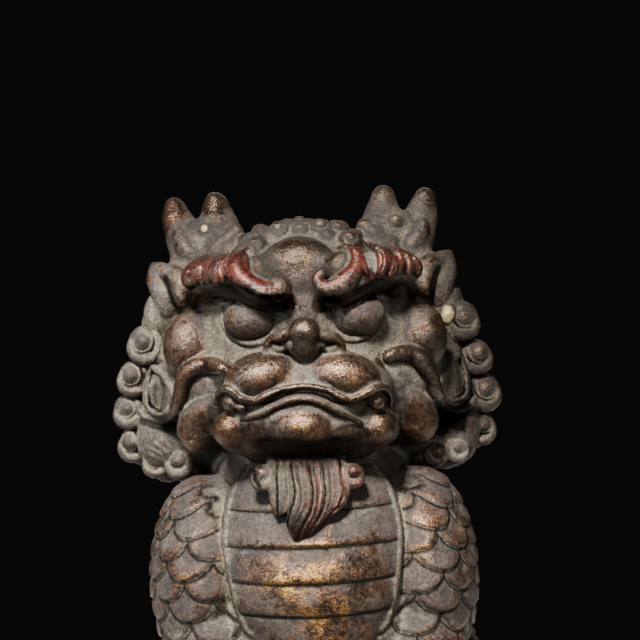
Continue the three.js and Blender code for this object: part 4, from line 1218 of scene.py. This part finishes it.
cords = [border_cord(-1), border_cord(1)]
points, faces = cast([scaled_trunk(), plated_belly(), *cords, *both(limbs), *tail(), base()])
points = chased(points, faces)
points[:, 2] = np.where(points[:, 2] < FLAT_SOLE - BASE_TOP, -BASE_TOP, points[:, 2])
piece("qilin_body", points, faces, painted_body)


# Studio

CAMERA_AT = (0.0051, -1.045, 0.1487)
CAMERA_LEAN = np.radians(-2.4)
LENS, SENSOR = 185.1, 36
WORLD_COLOUR, WORLD_STRENGTH = (0.5, 0.5, 0.51, 1), 0.008
FLOOR = np.array([[-0.35, -0.09, 0], [0.35, -0.09, 0], [0.35, 0.4, 0], [-0.35, 0.4, 0]])
LAMPS_FACE = Vector((0, 0, 0.12))
# Lamps: name, place, size, watts, colour
LAMPS = [
    ("key", (-0.14, -0.7, 0.72), 0.16, 33, (1, 0.95, 0.89)),
    ("left", (-0.75, -0.4, 0.32), 0.4, 3.0, (0.84, 0.92, 1)),
    ("right", (0.7, -0.6, 0.3), 0.3, 0.75, (0.84, 0.92, 1)),
    ("front", (0.1, -1.3, 0.2), 0.5, 3.2, (1, 0.96, 0.92)),
    ("back", (0, 0.7, 0.5), 0.5, 0.5, (1, 1, 1)),
]


def studio():
    """A pale floor, a soft light above and in front, and weak fills; the photograph's camera stands
    level, a metre before the muzzle, and leans a little."""
    scene = bpy.context.scene
    floor = bpy.data.objects.new("floor", mesh_of("floor", FLOOR, np.array([[0, 1, 2, 3]])))
    floor.data.materials.append(plain_finish("pale_floor", (0.7, 0.69, 0.67), 0.7))
    scene.collection.objects.link(floor)

    scene.world = bpy.data.worlds.new("studio")
    scene.world.use_nodes = True
    background = scene.world.node_tree.nodes["Background"].inputs
    background["Color"].default_value = WORLD_COLOUR
    background["Strength"].default_value = WORLD_STRENGTH

    for name, at, size, watts, colour in LAMPS:
        light = bpy.data.lights.new(name, "AREA")
        light.size, light.energy, light.color = size, watts, colour
        lamp = bpy.data.objects.new(name, light)
        lamp.location = at
        lamp.rotation_euler = (LAMPS_FACE - lamp.location).to_track_quat("-Z", "Y").to_euler()
        scene.collection.objects.link(lamp)

    lens = bpy.data.cameras.new("camera")
    lens.lens, lens.sensor_width = LENS, SENSOR
    camera = bpy.data.objects.new("camera", lens)
    level = Matrix.Rotation(np.pi / 2, 4, "X")
    camera.matrix_world = Matrix.Translation(CAMERA_AT) @ level @ Matrix.Rotation(CAMERA_LEAN, 4, "Z")
    scene.collection.objects.link(camera)
    scene.camera = camera


studio()
